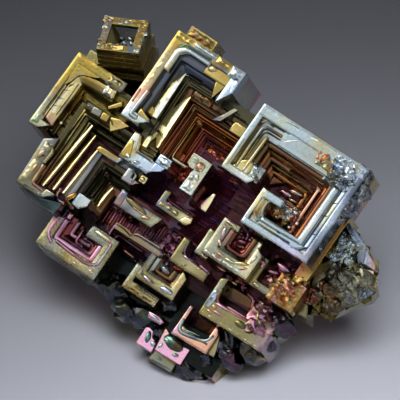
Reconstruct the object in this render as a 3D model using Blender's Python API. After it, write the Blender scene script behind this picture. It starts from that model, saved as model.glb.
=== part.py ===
"""Bismuth hopper crystal: square stepped hoppers grown together into one solid.

Everything is laid out in the crystal's own axes, in millimetres: u and v run along the sides
of the hoppers and w stands out of their open faces.  The finished solid is then turned to the
attitude in which the specimen stands, cut flat underneath, and scaled to metres.
"""

import math
import random

import bmesh
import bpy
from mathutils import Euler, Matrix, Vector

# ---- driving dimensions -------------------------------------------------------------------

MM = 0.001
NODE_NAME = "bismuth_crystal"

# How the hopper faces stand: their outward direction, and the turn of the squares within it.
FACE_ELEVATION = math.radians(43.2)
FACE_SWING = math.radians(14.3)
SQUARE_TURN = math.radians(-25.2)

# Plans are drawn on axes that lean as they go down: a plate at level w stands LEAN * w aside.
LEAN_U = 0.295
LEAN_V = -0.106

STEP_OVERLAP = 0.35      # how far a step reaches in under the one above it
STAGGER = 0.01           # each further step reaches in a little more, so that no faces coincide
FOOT_RISE = 0.12         # each further step of a stair starts a little higher
TREAD_GROWTH = 0.03      # and runs on a little further along the top
CUP_STAGGER = (0.15, 0.10)    # how much sooner each further step of a cup ends, right and left
ROOT = 5.0               # how far a band reaches down below its own top

LUMP_REACH = (0.82, 1.08)     # how unevenly a lump's points stand out
LUMP_SWING = 0.5              # and how far they are turned aside, in radians

RIM_STEP = 0.62          # width of a step inside the right-hand hopper
RIM_NARROWING = 0.85     # its right-hand steps are narrower by this factor
FLOOR_RIDGE = 0.92       # distance between the fine ridges on the middle floor

CUBE_CENTRE = (-22.27, 13.19, 0.3)
CUBE_TIP = math.radians(-27.4)
CUBE_SPIN = math.radians(25.1)
CUBE_HALF = 3.04         # half the side of the small tilted cube

SPUR_LEVEL = -7.4        # mean level of the rough crystal at the right
SPUR_DEPTH = 7.0

PIT_INSET = 0.85         # how much narrower on each side a pit gets at every step
PIT_DROP = 0.8           # how much deeper
PIT_MOUTH = 1.5          # how far the cutters stand out of the face

FLOOR_LEVEL = -25.2      # height of the cut under the crystal, before it is set on the ground
SEED = 83                # bismuth's atomic number

# ---- small helpers ------------------------------------------------------------------------


def clear_scene():
    for item in list(bpy.data.objects):
        bpy.data.objects.remove(item, do_unlink=True)


def seat(u, v, level):
    """Crystal position of the plan point (u, v) at a level."""
    return Vector((u + LEAN_U * level, v + LEAN_V * level, level))


def crystal_turn():
    """Rotation from the crystal's axes to the way the specimen stands."""
    level_part = math.cos(FACE_ELEVATION)
    outward = Vector((
        -math.sin(FACE_SWING) * level_part,
        -math.cos(FACE_SWING) * level_part,
        math.sin(FACE_ELEVATION),
    ))
    across = Vector((0, 0, 1)).cross(outward).normalized()
    upward = outward.cross(across)
    side_u = across * math.cos(SQUARE_TURN) + upward * math.sin(SQUARE_TURN)
    side_v = outward.cross(side_u)
    return Matrix((side_u, side_v, outward)).transposed()


class Growth:
    """Closed pieces that grow into one another; they are joined at the end."""

    def __init__(self):
        self.pieces = []

    def add(self, points, faces):
        self.pieces.append(([Vector(p) for p in points], faces))

    def prism(self, top, bottom):
        """Closed prism between two rings of points, both listed clockwise from outside."""
        count = len(top)
        faces = [list(range(count))[::-1], [count + i for i in range(count)]]
        for i in range(count):
            j = (i + 1) % count
            faces.append([i, j, count + j, count + i])
        self.add(list(top) + list(bottom), faces)

    def lump(self, centre, radii, seed, count=16):
        """Angular lump: the hull of points scattered over an ellipsoid."""
        dice = random.Random(SEED * 1000 + seed)
        spots = []
        golden = math.pi * (3.0 - math.sqrt(5.0))
        for i in range(count):
            height = 1.0 - 2.0 * (i + 0.5) / count
            round_part = math.sqrt(1.0 - height * height)
            angle = golden * i + dice.uniform(-LUMP_SWING, LUMP_SWING)
            reach = dice.uniform(*LUMP_REACH)
            spot = Vector((math.cos(angle) * round_part, math.sin(angle) * round_part, height)) * reach
            spots.append(Vector(centre) + Vector((spot.x * radii[0], spot.y * radii[1], spot.z * radii[2])))
        self.hull(spots)

    def hull(self, spots):
        shape = bmesh.new()
        for spot in spots:
            shape.verts.new(spot)
        result = bmesh.ops.convex_hull(shape, input=shape.verts)
        inside = [item for item in result["geom_interior"] if isinstance(item, bmesh.types.BMVert)]
        bmesh.ops.delete(shape, geom=inside, context="VERTS")
        loose = [vert for vert in shape.verts if not vert.link_faces]
        bmesh.ops.delete(shape, geom=loose, context="VERTS")
        bmesh.ops.recalc_face_normals(shape, faces=shape.faces)
        shape.verts.index_update()
        points = [vert.co.copy() for vert in shape.verts]
        faces = [[vert.index for vert in face.verts] for face in shape.faces]
        shape.free()
        self.add(points, faces)

    def plate(self, outline, level, root=ROOT, fall=None):
        """Flat-topped block with a clockwise plan outline; fall lowers single corners."""
        drops = fall or [0.0] * len(outline)
        ring = [seat(u, v, level) for u, v in outline]
        top = [spot - Vector((0, 0, drop)) for spot, drop in zip(ring, drops)]
        bottom = [spot - Vector((0, 0, root)) for spot in ring]
        self.prism(top, bottom)

    def block(self, u0, u1, v0, v1, level, root=ROOT):
        self.plate([(u0, v0), (u0, v1), (u1, v1), (u1, v0)], level, root)

    def strip(self, start, end, width, level, root=1.6):
        """Straight narrow ridge between two plan points."""
        along = (Vector(end) - Vector(start)).normalized()
        side = Vector((-along.y, along.x)) * width / 2
        a, b = Vector(start), Vector(end)
        self.plate([a + side, b + side, b - side, a - side], level, root)

    def band(self, path, widths, level, root=ROOT, start=0.0, end=0.0, fall=0.0):
        """Ledge along a clockwise path, as wide on its right-hand side as each width says.

        The inner edge runs on past the ends by start and end, which cuts them slantwise, and
        it lies lower than the outer edge by fall.
        """
        inner = offset_path(path, widths, start, end)
        outline = [tuple(p) for p in path] + [tuple(p) for p in reversed(inner)]
        drops = [0.0] * len(path) + [fall] * len(inner)
        self.plate(outline, level, root, drops)

    def stairs(self, foot, end_u, corner, steps, root=ROOT, slant=0.3):
        """Chevron of steps that go down from an outer corner, up its left side and along its top."""
        edge_u, edge_v = corner
        for count, (next_u, next_v, level) in enumerate(steps):
            back = STEP_OVERLAP + STAGGER * count
            path = [
                (edge_u - back, foot + FOOT_RISE * count),
                (edge_u - back, edge_v + back),
                (end_u + TREAD_GROWTH * count, edge_v + back),
            ]
            widths = [next_u - edge_u + back, edge_v + back - next_v]
            self.band(path, widths, level, root, start=slant)
            edge_u, edge_v = next_u, next_v

    def cup(self, left, right, low, high, inset, levels, root=ROOT):
        """Steps that go down on the left, the bottom and the right of a hopper open above."""
        for count, level in enumerate(levels):
            back = STEP_OVERLAP + STAGGER * count
            grown = count * inset
            path = [
                (right - grown + back, high - CUP_STAGGER[0] * count),
                (right - grown + back, low + grown - back),
                (left + grown - back, low + grown - back),
                (left + grown - back, high - CUP_STAGGER[1] * count),
            ]
            width = inset + back
            self.band(path, [width, width, width], level, root)


def offset_path(path, widths, start, end):
    """Corner points of the line that runs beside a path, on its right, at each width."""
    spots = [Vector(p) for p in path]
    ways = [(b - a).normalized() for a, b in zip(spots, spots[1:])]
    rights = [Vector((way.y, -way.x)) for way in ways]
    inner = [spots[0] + rights[0] * widths[0] - ways[0] * start]
    for i in range(1, len(ways)):
        before, after = rights[i - 1], rights[i]
        det = before.x * after.y - before.y * after.x
        corner = Vector((
            (widths[i - 1] * after.y - widths[i] * before.y) / det,
            (widths[i] * before.x - widths[i - 1] * after.x) / det,
        ))
        inner.append(spots[i] + corner)
    inner.append(spots[-1] + rights[-1] * widths[-1] + ways[-1] * end)
    return inner


# ---- the hoppers on the front --------------------------------------------------------------


def top_hopper(grow):
    """Tall chevron hopper at the top, with the deepest stair of steps."""
    grow.band([(-13.6, 3.9), (-16.2, 3.9), (-16.2, 17.9), (-4.75, 17.9), (-4.75, 14.5)],
              [1.4, 1.45, 1.6, 1.5], 0.0, root=11.5, start=1.4, end=2.2)
    grow.band([(-14.8, 13.0), (-14.8, 15.6), (-13.9, 16.5), (-9.7, 16.5)],
              [0.65, 0.62, 0.6], 0.3, root=2.0)
    grow.block(-9.9, -6.0, 14.8, 16.8, -0.45, root=3.0)
    grow.plate([(-7.8, 14.9), (-6.0, 15.2), (-6.85, 12.3)], -0.85, root=4.0)
    grow.block(-9.3, -7.2, 16.95, 17.7, 0.25, root=1.5)
    grow.block(-15.0, -10.5, 17.6, 19.4, -1.6, root=5.0)
    grow.band([(-12.1, 5.9), (-13.7, 5.9), (-13.7, 14.75), (-6.6, 14.75)],
              [1.1, 1.9, 1.4], -2.4, root=7.0, start=0.5)
    grow.plate([(-13.1, 6.95), (-12.1, 13.2), (-11.85, 13.2), (-11.85, 6.95)],
               -1.9, root=2.0, fall=[0.0, 0.2, 0.4, 0.4])
    grow.plate([(-10.45, 4.8), (-10.1, 10.1), (-9.3, 11.0), (-9.15, 11.0), (-9.15, 2.4), (-9.6, 2.4)],
               -3.7, root=2.4, fall=[0.0, 0.0, 0.4, 0.6, 0.6, 0.4])
    grow.band([(-14.9, 5.2), (-14.9, 16.6), (-6.4, 16.6)], [1.3, 1.9], -1.2, root=9.0)
    steps = [
        (-10.40, 12.1, -3.5), (-9.15, 11.2, -4.3), (-8.35, 10.4, -5.0), (-7.60, 9.8, -5.6),
        (-6.95, 9.2, -6.2), (-5.90, 8.5, -6.9), (-4.90, 7.9, -7.6), (-4.20, 7.4, -8.3),
        (-3.60, 6.9, -8.9),
    ]
    grow.stairs(2.0, 0.3, (-11.85, 13.4), steps, root=6.0)
    grow.band([(-4.4, 2.35), (-6.95, 2.35), (-6.95, 8.6)], [0.75, 0.3], -5.9, root=3.0, start=0.5)
    grow.band([(-3.75, 4.4), (-3.75, 6.5), (-3.2, 7.1), (-0.2, 7.1)], [0.3, 0.3, 0.3], -8.6, root=2.0)
    grow.block(-2.3, -0.3, 10.1, 11.7, -4.0, root=6.0)


def middle_frame(grow):
    """Broken piece of rim, between the top hopper and the centre."""
    grow.band([(-8.4, -1.0), (-13.1, -1.0), (-13.1, 3.2), (-12.0, 3.2)],
              [2.0, 1.6, 1.0], -2.6, root=7.5, start=1.5)
    grow.plate([(-11.35, 1.9), (-11.35, 4.0), (-10.5, 4.6), (-10.4, 2.0)], -2.2, root=3.0,
               fall=[0.0, 0.0, 0.5, 0.5])
    grow.block(-8.2, -6.4, 1.0, 2.4, -2.3, root=6.0)
    grow.lump(seat(-7.2, 1.9, -2.3), (1.0, 0.7, 0.5), 1, count=12)


def upper_left_hopper(grow):
    """Broad chevron at the far left."""
    grow.band([(-24.8, -3.8), (-26.35, -3.8), (-26.1, 8.0), (-17.8, 8.0)],
              [1.3, 1.5, 1.55], -1.0, root=8.0, start=1.3)
    grow.block(-24.9, -21.2, 7.6, 9.2, -2.3, root=4.0)
    grow.band([(-24.65, -1.9), (-24.4, 5.9), (-18.4, 5.9)], [1.15, 1.2], -1.7, root=6.0, start=0.6)
    steps = [
        (-23.50, 4.9, -2.4), (-22.30, 3.9, -3.1), (-21.20, 3.0, -3.8), (-19.85, 1.9, -4.5),
    ]
    grow.stairs(-3.2, -15.0, (-24.85, 6.4), steps, root=6.0)
    grow.strip((-22.2, 3.2), (-22.25, 0.6), 0.3, -2.8)
    grow.plate([(-21.5, -2.8), (-21.05, -0.2), (-20.95, 2.5), (-20.35, 2.4), (-20.6, -0.2), (-20.95, -2.8)],
               -3.5, root=2.0)
    grow.plate([(-18.3, 3.9), (-16.95, 5.6), (-16.6, 4.9), (-18.0, 3.5)], -1.9, root=4.0)
    grow.plate([(-18.4, 2.9), (-15.6, 3.25), (-14.1, 3.05), (-16.0, 1.1), (-16.6, 1.7), (-18.3, 1.85)],
               -2.5, root=4.5)


def lower_left_hopper(grow):
    """Long stair of parallel ledges below the far left chevron."""
    grow.band([(-18.8, -11.6), (-22.95, -11.6), (-23.25, -4.4)], [1.4, 1.9], -2.0,
              root=8.0, start=1.5, end=0.9)
    grow.band([(-18.9, -10.9), (-21.95, -10.9), (-22.0, -5.3)], [0.6, 0.65], -1.75, root=2.0)
    steps = [
        (-20.20, 1.2, -3.0), (-19.00, 0.5, -3.7), (-17.75, -0.4, -4.4), (-16.40, -1.2, -5.0),
        (-15.10, -2.1, -5.5), (-14.20, -3.0, -6.2), (-13.10, -3.9, -6.9), (-11.90, -4.9, -7.5),
        (-10.40, -6.0, -8.1),
    ]
    grow.stairs(-10.2, -8.8, (-21.2, 2.2), steps, root=6.0)
    ridges = [
        ((-18.60, 0.6), (-19.55, -9.9), 0.42, -3.3), ((-17.50, -0.4), (-18.05, -9.6), 0.40, -4.0),
        ((-16.15, -1.6), (-16.70, -9.3), 0.40, -4.6), ((-13.00, -4.5), (-13.05, -7.8), 0.26, -6.6),
        ((-11.40, -5.2), (-11.68, -8.0), 0.45, -7.1), ((-10.28, -6.5), (-10.35, -10.5), 0.26, -7.8),
    ]
    for upper, lower, width, level in ridges:
        grow.strip(upper, lower, width, level)
    grow.plate([(-16.3, -2.0), (-16.1, -1.2), (-12.2, -1.1), (-13.2, -2.05)], -4.5, root=4.0)
    grow.plate([(-16.95, -10.2), (-16.9, -9.2), (-16.0, -9.8), (-15.3, -8.4), (-14.6, -8.7), (-14.85, -9.9),
                (-14.1, -10.5)], -4.5, root=5.0)
    grow.plate([(-14.8, -9.9), (-14.6, -8.1), (-12.65, -8.1), (-12.65, -9.1), (-13.6, -10.1)], -4.2, root=5.5)
    grow.plate([(-20.6, -12.4), (-21.2, -11.4), (-15.9, -10.8), (-15.9, -12.6)], -4.4, root=4.0)


def right_hopper(grow):
    """Broad silver hopper whose rim coils right round and hooks back inward."""
    rim = [(4.2, 5.3), (-0.4, 5.3), (-0.4, 15.9), (17.35, 15.9), (17.35, 0.5), (6.25, 0.5),
           (6.25, 6.2), (10.0, 6.2)]
    grow.band(rim, [1.25, 3.2, 4.1, 3.05, 2.4, 1.95, 1.2], 0.0, root=8.0, start=0.9)
    grow.band([(4.1, 5.35), (-0.35, 5.35), (-0.35, 15.85), (17.3, 15.85), (17.3, 0.55), (6.3, 0.55),
               (6.3, 6.15), (8.9, 6.15)], [1.1, 1.0, 1.7, 1.0, 1.0, 0.75, 0.9], 0.65, root=3.1, start=0.6)
    grow.band([(1.0, 6.6), (1.0, 12.9), (1.6, 13.5), (4.2, 13.5)], [0.45, 0.45, 0.45], 0.45, root=2.0)
    grow.plate([(2.0, 6.6), (2.3, 12.0), (2.9, 12.0), (2.9, 6.6)], 0.5, root=2.0, fall=[0.0, 0.0, 0.3, 0.3])
    grow.plate([(4.6, 12.0), (4.6, 14.2), (11.4, 14.2), (12.6, 12.0)], 0.5, root=2.0)
    grow.block(14.45, 15.15, 2.9, 11.9, 0.55, root=2.0)
    grow.band([(14.4, 2.0), (8.3, 2.0)], [0.85], 0.5, root=2.0)
    grow.plate([(3.3, 6.0), (3.3, 8.3), (5.2, 8.3), (5.2, 7.0), (4.2, 5.6)], -0.2, root=6.0)
    grow.lump(seat(4.3, 7.4, 0.1), (0.9, 0.9, 0.7), 2, count=12)
    for count, level in enumerate([-0.9, -1.7, -2.5, -3.3, -4.1, -4.9]):
        back = STEP_OVERLAP + STAGGER * count
        left = 2.9 + RIM_STEP * count - back
        top = 11.8 - RIM_STEP * count + back
        right = 14.3 - RIM_STEP * RIM_NARROWING * count + back
        width = RIM_STEP + back
        grow.band([(left, 5.5), (left, top), (right, top), (right, 2.6)],
                  [width, width, RIM_STEP * RIM_NARROWING + back], level, root=5.0)
    grow.block(8.7, 10.1, 6.95, 7.3, -4.6, root=3.0)
    floor_lumps = [(10.6, 4.6, 1.3), (12.2, 5.4, 1.3), (13.3, 4.2, 1.0), (11.8, 3.6, 1.1)]
    for count, (u, v, size) in enumerate(floor_lumps):
        grow.lump(seat(u, v, -4.6 + 0.5 * count), (size, size, 1.4), 10 + count, count=12)
    corner_lumps = [(17.3, 14.3, 1.7), (18.0, 12.2, 1.8), (17.8, 10.2, 1.7), (16.2, 13.1, 1.5),
                    (16.0, 14.9, 1.1), (13.6, 12.4, 1.0)]
    for count, (u, v, size) in enumerate(corner_lumps):
        grow.lump(seat(u, v, -0.9), (size * 0.85, size, 1.6), 20 + count, count=20)


def centre_pieces(grow):
    """Loose ledges and pillars that stand on the dark middle floor."""
    grow.plate([(-4.55, 3.3), (-4.55, 5.0), (-1.4, 5.0), (-1.4, -0.2), (-3.45, -0.2), (-3.2, 3.3)],
               -2.2, root=8.0)
    grow.plate([(-3.2, 3.2), (-3.0, 4.6), (-2.0, 4.3), (-1.9, 3.1)], -1.7, root=2.0)
    grow.plate([(0.3, -0.3), (0.95, 1.8), (1.45, 1.8), (1.65, -1.0), (0.75, -1.0)], -5.0, root=5.0)
    grow.band([(-9.2, -3.5), (-11.0, -3.5), (-11.0, -1.25)], [1.0, 1.1], -4.0, root=6.0, start=0.7)
    grow.block(-8.8, -7.8, -2.4, -1.3, -3.9, root=6.0)
    grow.band([(0.2, -4.0), (-4.9, -4.0), (-4.9, -1.2)], [1.4, 1.0], -5.5, root=5.0, start=0.5)
    grow.strip((-2.8, -1.9), (0.5, -2.2), 0.35, -6.0, root=3.0)
    grow.band([(-3.5, -6.85), (-9.95, -6.85), (-9.95, -4.4), (-8.9, -4.4)], [1.9, 1.6, 0.9], -5.0,
              root=5.0, start=0.6)
    grow.strip((-7.9, -5.75), (-4.8, -5.75), 0.4, -4.75)
    grow.plate([(-8.0, -9.6), (-8.0, -8.7), (-7.0, -8.6), (-5.7, -9.1), (-4.6, -8.4), (-1.0, -8.3), (0.1, -8.9),
                (-0.4, -9.6)], -6.5, root=5.0)
    grow.strip((-8.15, -8.7), (-8.45, -10.8), 0.4, -6.6, root=4.0)
    grow.strip((-7.65, -9.4), (-7.75, -10.8), 0.25, -6.9, root=4.0)
    grow.strip((-5.0, -11.5), (-3.0, -11.6), 0.3, -8.6, root=3.0)
    grow.strip((3.0, 3.75), (4.3, 3.7), 0.35, -7.6, root=3.0)
    for row in range(9):
        v = 2.9 - FLOOR_RIDGE * row
        grow.strip((-0.2, v), (5.4 - 0.1 * row, v), 0.3, -8.25 + 0.03 * (row % 3), root=1.5)


def lower_frames(grow):
    """Small open frames that step down below the big hoppers."""
    grow.band([(11.7, -1.7), (11.7, -5.8), (4.2, -5.8), (4.2, 0.0), (7.0, 0.0)], [1.3, 1.75, 1.6, 0.9],
              -3.0, root=7.0, start=0.6)
    grow.cup(5.8, 10.4, -4.1, -0.3, 0.62, [-4.0, -4.9, -5.8], root=5.0)
    grow.band([(5.5, -6.4), (3.4, -6.4), (3.4, -2.4)], [1.2, 1.1], -4.4, root=6.0)
    grow.band([(6.9, -9.15), (1.1, -9.15), (1.1, -5.3)], [1.75, 1.1], -5.2, root=6.0)
    grow.strip((2.7, -7.5), (6.8, -7.35), 0.4, -5.0)
    grow.band([(16.5, -6.0), (12.1, -6.0), (12.1, -1.6)], [1.1, 0.8], -4.5, root=6.0)
    grow.block(12.6, 15.4, -4.9, -3.9, -5.4, root=5.0)
    grow.block(14.0, 16.6, -2.2, -0.9, -6.0, root=5.0)
    grow.band([(19.2, -12.8), (8.75, -13.0), (8.6, -7.2)], [2.6, 1.1], -5.6, root=7.0, end=0.4)
    grow.strip((10.2, -10.45), (14.6, -9.9), 0.5, -5.2)
    grow.strip((10.2, -11.6), (11.8, -11.45), 0.4, -5.3)
    grow.block(9.6, 14.5, -9.2, -8.3, -7.2, root=4.0)
    grow.band([(12.95, -13.9), (12.95, -17.2), (7.25, -17.35), (7.25, -12.7)], [1.0, 1.3, 0.6], -8.0,
              root=6.0, start=0.9)
    grow.strip((8.3, -16.45), (11.7, -15.55), 0.5, -7.7)
    grow.plate([(13.0, -17.1), (13.0, -14.2), (13.3, -14.0), (14.2, -16.9)], -8.7, root=5.0)
    grow.band([(10.9, -17.9), (10.9, -20.4), (6.7, -20.5), (6.25, -17.2)], [0.8, 1.0, 0.7], -10.0, root=5.0)
    grow.strip((7.2, -18.75), (9.8, -18.55), 0.6, -10.6)
    grow.band([(6.5, -19.5), (6.5, -21.1), (4.1, -21.1), (3.9, -18.4), (5.0, -18.4)], [0.5, 0.9, 0.6, 0.4],
              -11.0, root=4.0)
    grow.block(4.6, 6.0, -20.3, -19.0, -11.5, root=4.0)
    grow.block(6.75, 10.4, -22.0, -20.3, -11.8, root=4.0)
    grow.plate([(3.0, -16.5), (4.6, -16.3), (5.6, -16.7), (5.3, -17.25), (3.3, -17.35)], -9.6, root=5.0)


def lower_left_square(grow):
    """Whole square spiral at the bottom left."""
    grow.band([(-10.55, -10.75), (-5.95, -10.75), (-5.95, -17.1), (-15.9, -17.1), (-15.9, -12.1)],
              [1.85, 1.7, 1.85, 1.6], -7.0, root=7.0)
    grow.cup(-14.3, -7.7, -15.3, -11.0, 0.82, [-7.9, -8.7, -9.5], root=5.0)
    grow.band([(-6.2, -11.4), (-6.2, -16.6), (-15.0, -16.6), (-15.0, -12.9)], [0.6, 0.6, 0.6], -6.75, root=1.5)
    grow.strip((-9.9, -11.35), (-6.8, -11.35), 0.5, -6.7)
    grow.lump(seat(-8.9, -13.0, -9.8), (1.0, 1.0, 0.9), 40, count=12)


def lower_middle_frames(grow):
    """Two cups, one below the other, under the centre."""
    grow.band([(4.8, -10.0), (4.8, -13.6), (-1.5, -13.6), (-1.5, -8.9), (0.1, -8.9)], [1.1, 1.5, 1.0, 0.45],
              -7.0, root=6.0, start=0.7)
    grow.cup(-0.5, 3.8, -12.1, -9.6, 0.7, [-7.9, -8.8], root=4.0)
    grow.band([(3.2, -15.75), (-2.35, -15.75), (-2.3, -11.1)], [1.5, 1.0], -9.0, root=5.0)
    grow.strip((-0.4, -14.6), (3.1, -14.7), 0.4, -9.3)


def turned_boxes(grow, centre, turn, boxes):
    """Boxes along axes of their own, turned against the rest of the crystal."""
    for a0, a1, b0, b1, c0, c1 in boxes:
        ring = [(a0, b0), (a0, b1), (a1, b1), (a1, b0)]
        grow.prism([centre + turn @ Vector((a, b, c1)) for a, b in ring],
                   [centre + turn @ Vector((a, b, c0)) for a, b in ring])


def tilted_cube(grow):
    """Small separate hopper at the upper left, turned and tipped against the rest."""
    turn = Euler((CUBE_TIP, 0.0, CUBE_SPIN)).to_matrix()
    centre = seat(*CUBE_CENTRE)
    half = CUBE_HALF
    boxes = [
        (-half, half, -half, -half + 0.9, -3.0, 0.0),
        (-half + 0.45, half, half - 0.85, half, -2.95, -0.02),
        (-half + 0.02, -half + 0.5, -half + 0.1, half - 0.55, -2.9, 0.05),
        (half - 0.95, half - 0.02, -half + 0.1, half - 0.1, -2.85, 0.03),
        (half - 1.7, half - 0.6, -0.3, 0.75, -2.8, -0.25),
        (-half + 0.3, half - 0.3, -half + 0.3, half - 0.3, -3.1, -1.9),
        (-half - 0.05, half + 0.4, -half - 0.35, half + 0.1, -5.0, -2.7),
        (-half + 0.5, half + 0.9, -half - 0.7, half - 0.4, -8.4, -4.7),
    ]
    turned_boxes(grow, centre, turn, boxes)
    slopes = [
        [(-half + 0.3, -half + 0.5, -0.2), (-half + 0.3, half - 0.6, -0.2), (0.1, half - 0.6, -1.75),
         (0.1, -half + 0.5, -1.75)],
        [(-half + 0.6, 0.5, -1.75), (-half + 0.6, half - 0.5, -0.6), (half - 0.6, half - 0.5, -0.6),
         (half - 0.6, 0.5, -1.75)],
    ]
    for ring in slopes:
        grow.prism([centre + turn @ Vector(spot) for spot in ring],
                   [centre + turn @ Vector((a, b, -2.6)) for a, b, c in ring])


def side_spur(grow):
    """Rough crystal of another bearing that juts out at the right, all broken corners."""
    outline = [(18.6, 8.8), (22.9, 7.2), (25.6, 5.6), (27.9, 2.3), (27.2, 0.9), (24.5, -3.5), (21.8, -4.9),
               (18.6, -2.5)]
    spots = [seat(u, v, SPUR_LEVEL) for u, v in outline]
    spots += [seat(u * 0.92 + 1.5, v * 0.85 + 0.3, SPUR_LEVEL + 1.0) for u, v in outline]
    spots += [seat(u * 0.86 + 2.2, v * 0.8, SPUR_LEVEL) - Vector((0, 0, SPUR_DEPTH)) for u, v in outline]
    grow.hull(spots)
    corners = [
        (20.0, 6.2, 1.6), (22.4, 5.5, 1.3), (24.4, 4.2, 1.6), (25.6, 2.2, 1.5), (22.2, 3.0, 1.9),
        (20.2, 3.2, 1.4), (24.0, 0.6, 1.7), (21.4, 0.4, 1.5), (22.6, -1.8, 1.8), (20.4, -2.4, 1.3),
        (23.6, -3.0, 1.1), (19.6, 0.2, 1.1), (26.4, 1.4, 0.9), (21.6, 4.6, 0.9), (23.2, 2.2, 0.8),
    ]
    dice = random.Random(SEED)
    for u, v, half in corners:
        outward = Vector((dice.uniform(-0.25, 0.25), dice.uniform(-0.1, 0.35), 1.0))
        turn = Vector((1.0, 1.0, 1.0)).rotation_difference(outward).to_matrix()
        turn = Euler((0.0, 0.0, math.radians(dice.uniform(-50, -30)))).to_matrix() @ turn
        corner = (-half, half, -half * 0.9, half * 0.9, -half, half)
        turned_boxes(grow, seat(u, v, SPUR_LEVEL + 0.4), turn, [corner])
    grow.plate([(19.6, -5.9), (19.3, -4.0), (20.4, -3.0), (21.9, -5.7)], -6.6, root=5.0)
    grow.block(16.8, 18.9, -1.5, 9.2, -4.4, root=6.0)


def rough_skirt(grow):
    """Broken, lumpy metal along the lower right edge and the foot."""
    lumps = [
        (17.2, -4.1, -5.2, 2.2, 1.9), (18.3, -2.2, -5.6, 1.5, 1.5), (16.8, -8.9, -6.4, 1.8, 1.7),
        (17.0, -10.8, -6.4, 1.5, 1.5), (16.2, -7.2, -6.6, 1.5, 1.5), (19.3, -8.4, -8.6, 2.4, 3.4),
        (18.6, -11.2, -9.0, 2.2, 3.2), (18.4, -13.3, -10.0, 2.3, 3.4), (16.4, -15.8, -11.2, 2.2, 3.0),
        (15.0, -13.8, -10.2, 2.2, 2.6), (12.4, -20.1, -13.0, 2.4, 2.9), (14.4, -17.8, -12.4, 2.3, 2.8),
        (0.3, -18.2, -12.0, 2.2, 2.6), (-2.8, -16.4, -11.0, 2.5, 2.4), (2.8, -17.4, -12.2, 2.4, 2.6),
        (-6.6, -16.8, -10.8, 1.5, 1.6), (5.4, -15.0, -12.0, 2.2, 2.4), (8.6, -20.0, -13.4, 2.2, 2.0),
    ]
    for count, (u, v, level, wide, deep) in enumerate(lumps):
        grow.lump(seat(u, v, level), (wide, wide * 0.85, deep), 80 + count, count=20)


def core(grow):
    """Solid metal under the pit floors."""
    grow.block(-12.0, 1.0, -1.0, 12.0, -9.6, root=8.0)
    grow.block(-7.5, 8.8, -11.0, 6.2, -8.5, root=11.0)
    grow.block(-21.3, -8.0, -11.0, 2.6, -8.9, root=6.0)
    grow.block(3.4, 16.4, 1.4, 13.2, -6.8, root=10.0)
    grow.block(-14.4, 9.2, -16.3, -7.6, -10.4, root=8.0)
    grow.block(7.6, 17.0, -12.4, 0.4, -9.2, root=9.0)
    grow.block(7.7, 14.6, -18.4, -11.0, -11.0, root=6.0)
    grow.block(-25.4, -13.0, -2.5, 7.4, -5.4, root=4.5)


# ---- the hidden sides and the foot ---------------------------------------------------------


def box(grow, low, high):
    """Block along the crystal's axes between two corners."""
    ring = [(low[0], low[1]), (low[0], high[1]), (high[0], high[1]), (high[0], low[1])]
    grow.prism([Vector((u, v, high[2])) for u, v in ring], [Vector((u, v, low[2])) for u, v in ring])


def back_blocks(grow):
    """Blocky crystals behind the hoppers, which go down to the foot."""
    box(grow, (-19.0, -4.2, -15.4), (-7.0, 9.4, -9.3))
    box(grow, (-22.6, -6.4, -11.9), (-12.0, 6.0, -9.1))
    box(grow, (-12.4, 4.6, -16.6), (-5.6, 15.4, -9.9))
    box(grow, (-8.6, -0.4, -18.6), (3.2, 12.4, -9.8))
    box(grow, (2.1, 0.6, -16.4), (13.4, 12.6, -7.2))
    box(grow, (-15.0, -15.0, -17.6), (-3.4, -2.6, -10.7))
    box(grow, (-5.2, -13.1, -24.6), (7.4, 2.1, -13.8))
    box(grow, (5.4, -12.2, -21.2), (14.4, 3.1, -9.7))
    box(grow, (-11.2, -11.0, -21.6), (-2.0, -0.9, -15.2))
    box(grow, (-4.3, -16.7, -31.0), (5.9, -5.7, -19.8))
    box(grow, (3.3, -18.5, -24.0), (12.6, -9.7, -9.8))


def rough_foot(grow):
    """Broken metal round the foot and low on the back."""
    lumps = [
        (-4.4, -13.4, -22.6, 3.6, 3.4), (8.8, -12.6, -22.8, 4.2, 4.4), (13.2, -8.0, -16.0, 3.4, 4.2),
        (3.6, -18.6, -14.8, 3.0, 3.4), (9.4, -18.2, -16.4, 3.2, 3.6), (-1.2, -16.0, -16.8, 3.2, 3.6),
        (7.2, -4.6, -25.0, 3.4, 3.4), (13.8, 0.6, -14.8, 3.2, 3.8), (17.4, 1.8, -11.8, 3.4, 3.4),
    ]
    for count, (u, v, w, wide, deep) in enumerate(lumps):
        grow.lump((u, v, w), (wide, wide * 0.9, deep), 120 + count, count=22)


def pit(grow, centre, outward, across, half_a, half_b, rings):
    """Stack of boxes, each smaller and deeper, that hollows a square hopper out of a side."""
    outward = Vector(outward)
    across = Vector(across)
    along = outward.cross(across)
    for ring in range(rings):
        a = half_a - ring * PIT_INSET
        b = half_b - ring * PIT_INSET
        outline = [Vector(centre) + across * p + along * q for p, q in [(-a, -b), (-a, b), (a, b), (a, -b)]]
        mouth = outward * (PIT_MOUTH - ring * STAGGER)
        floor = outward * (ring + 1) * PIT_DROP
        grow.prism([spot + mouth for spot in outline], [spot - floor for spot in outline])


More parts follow.
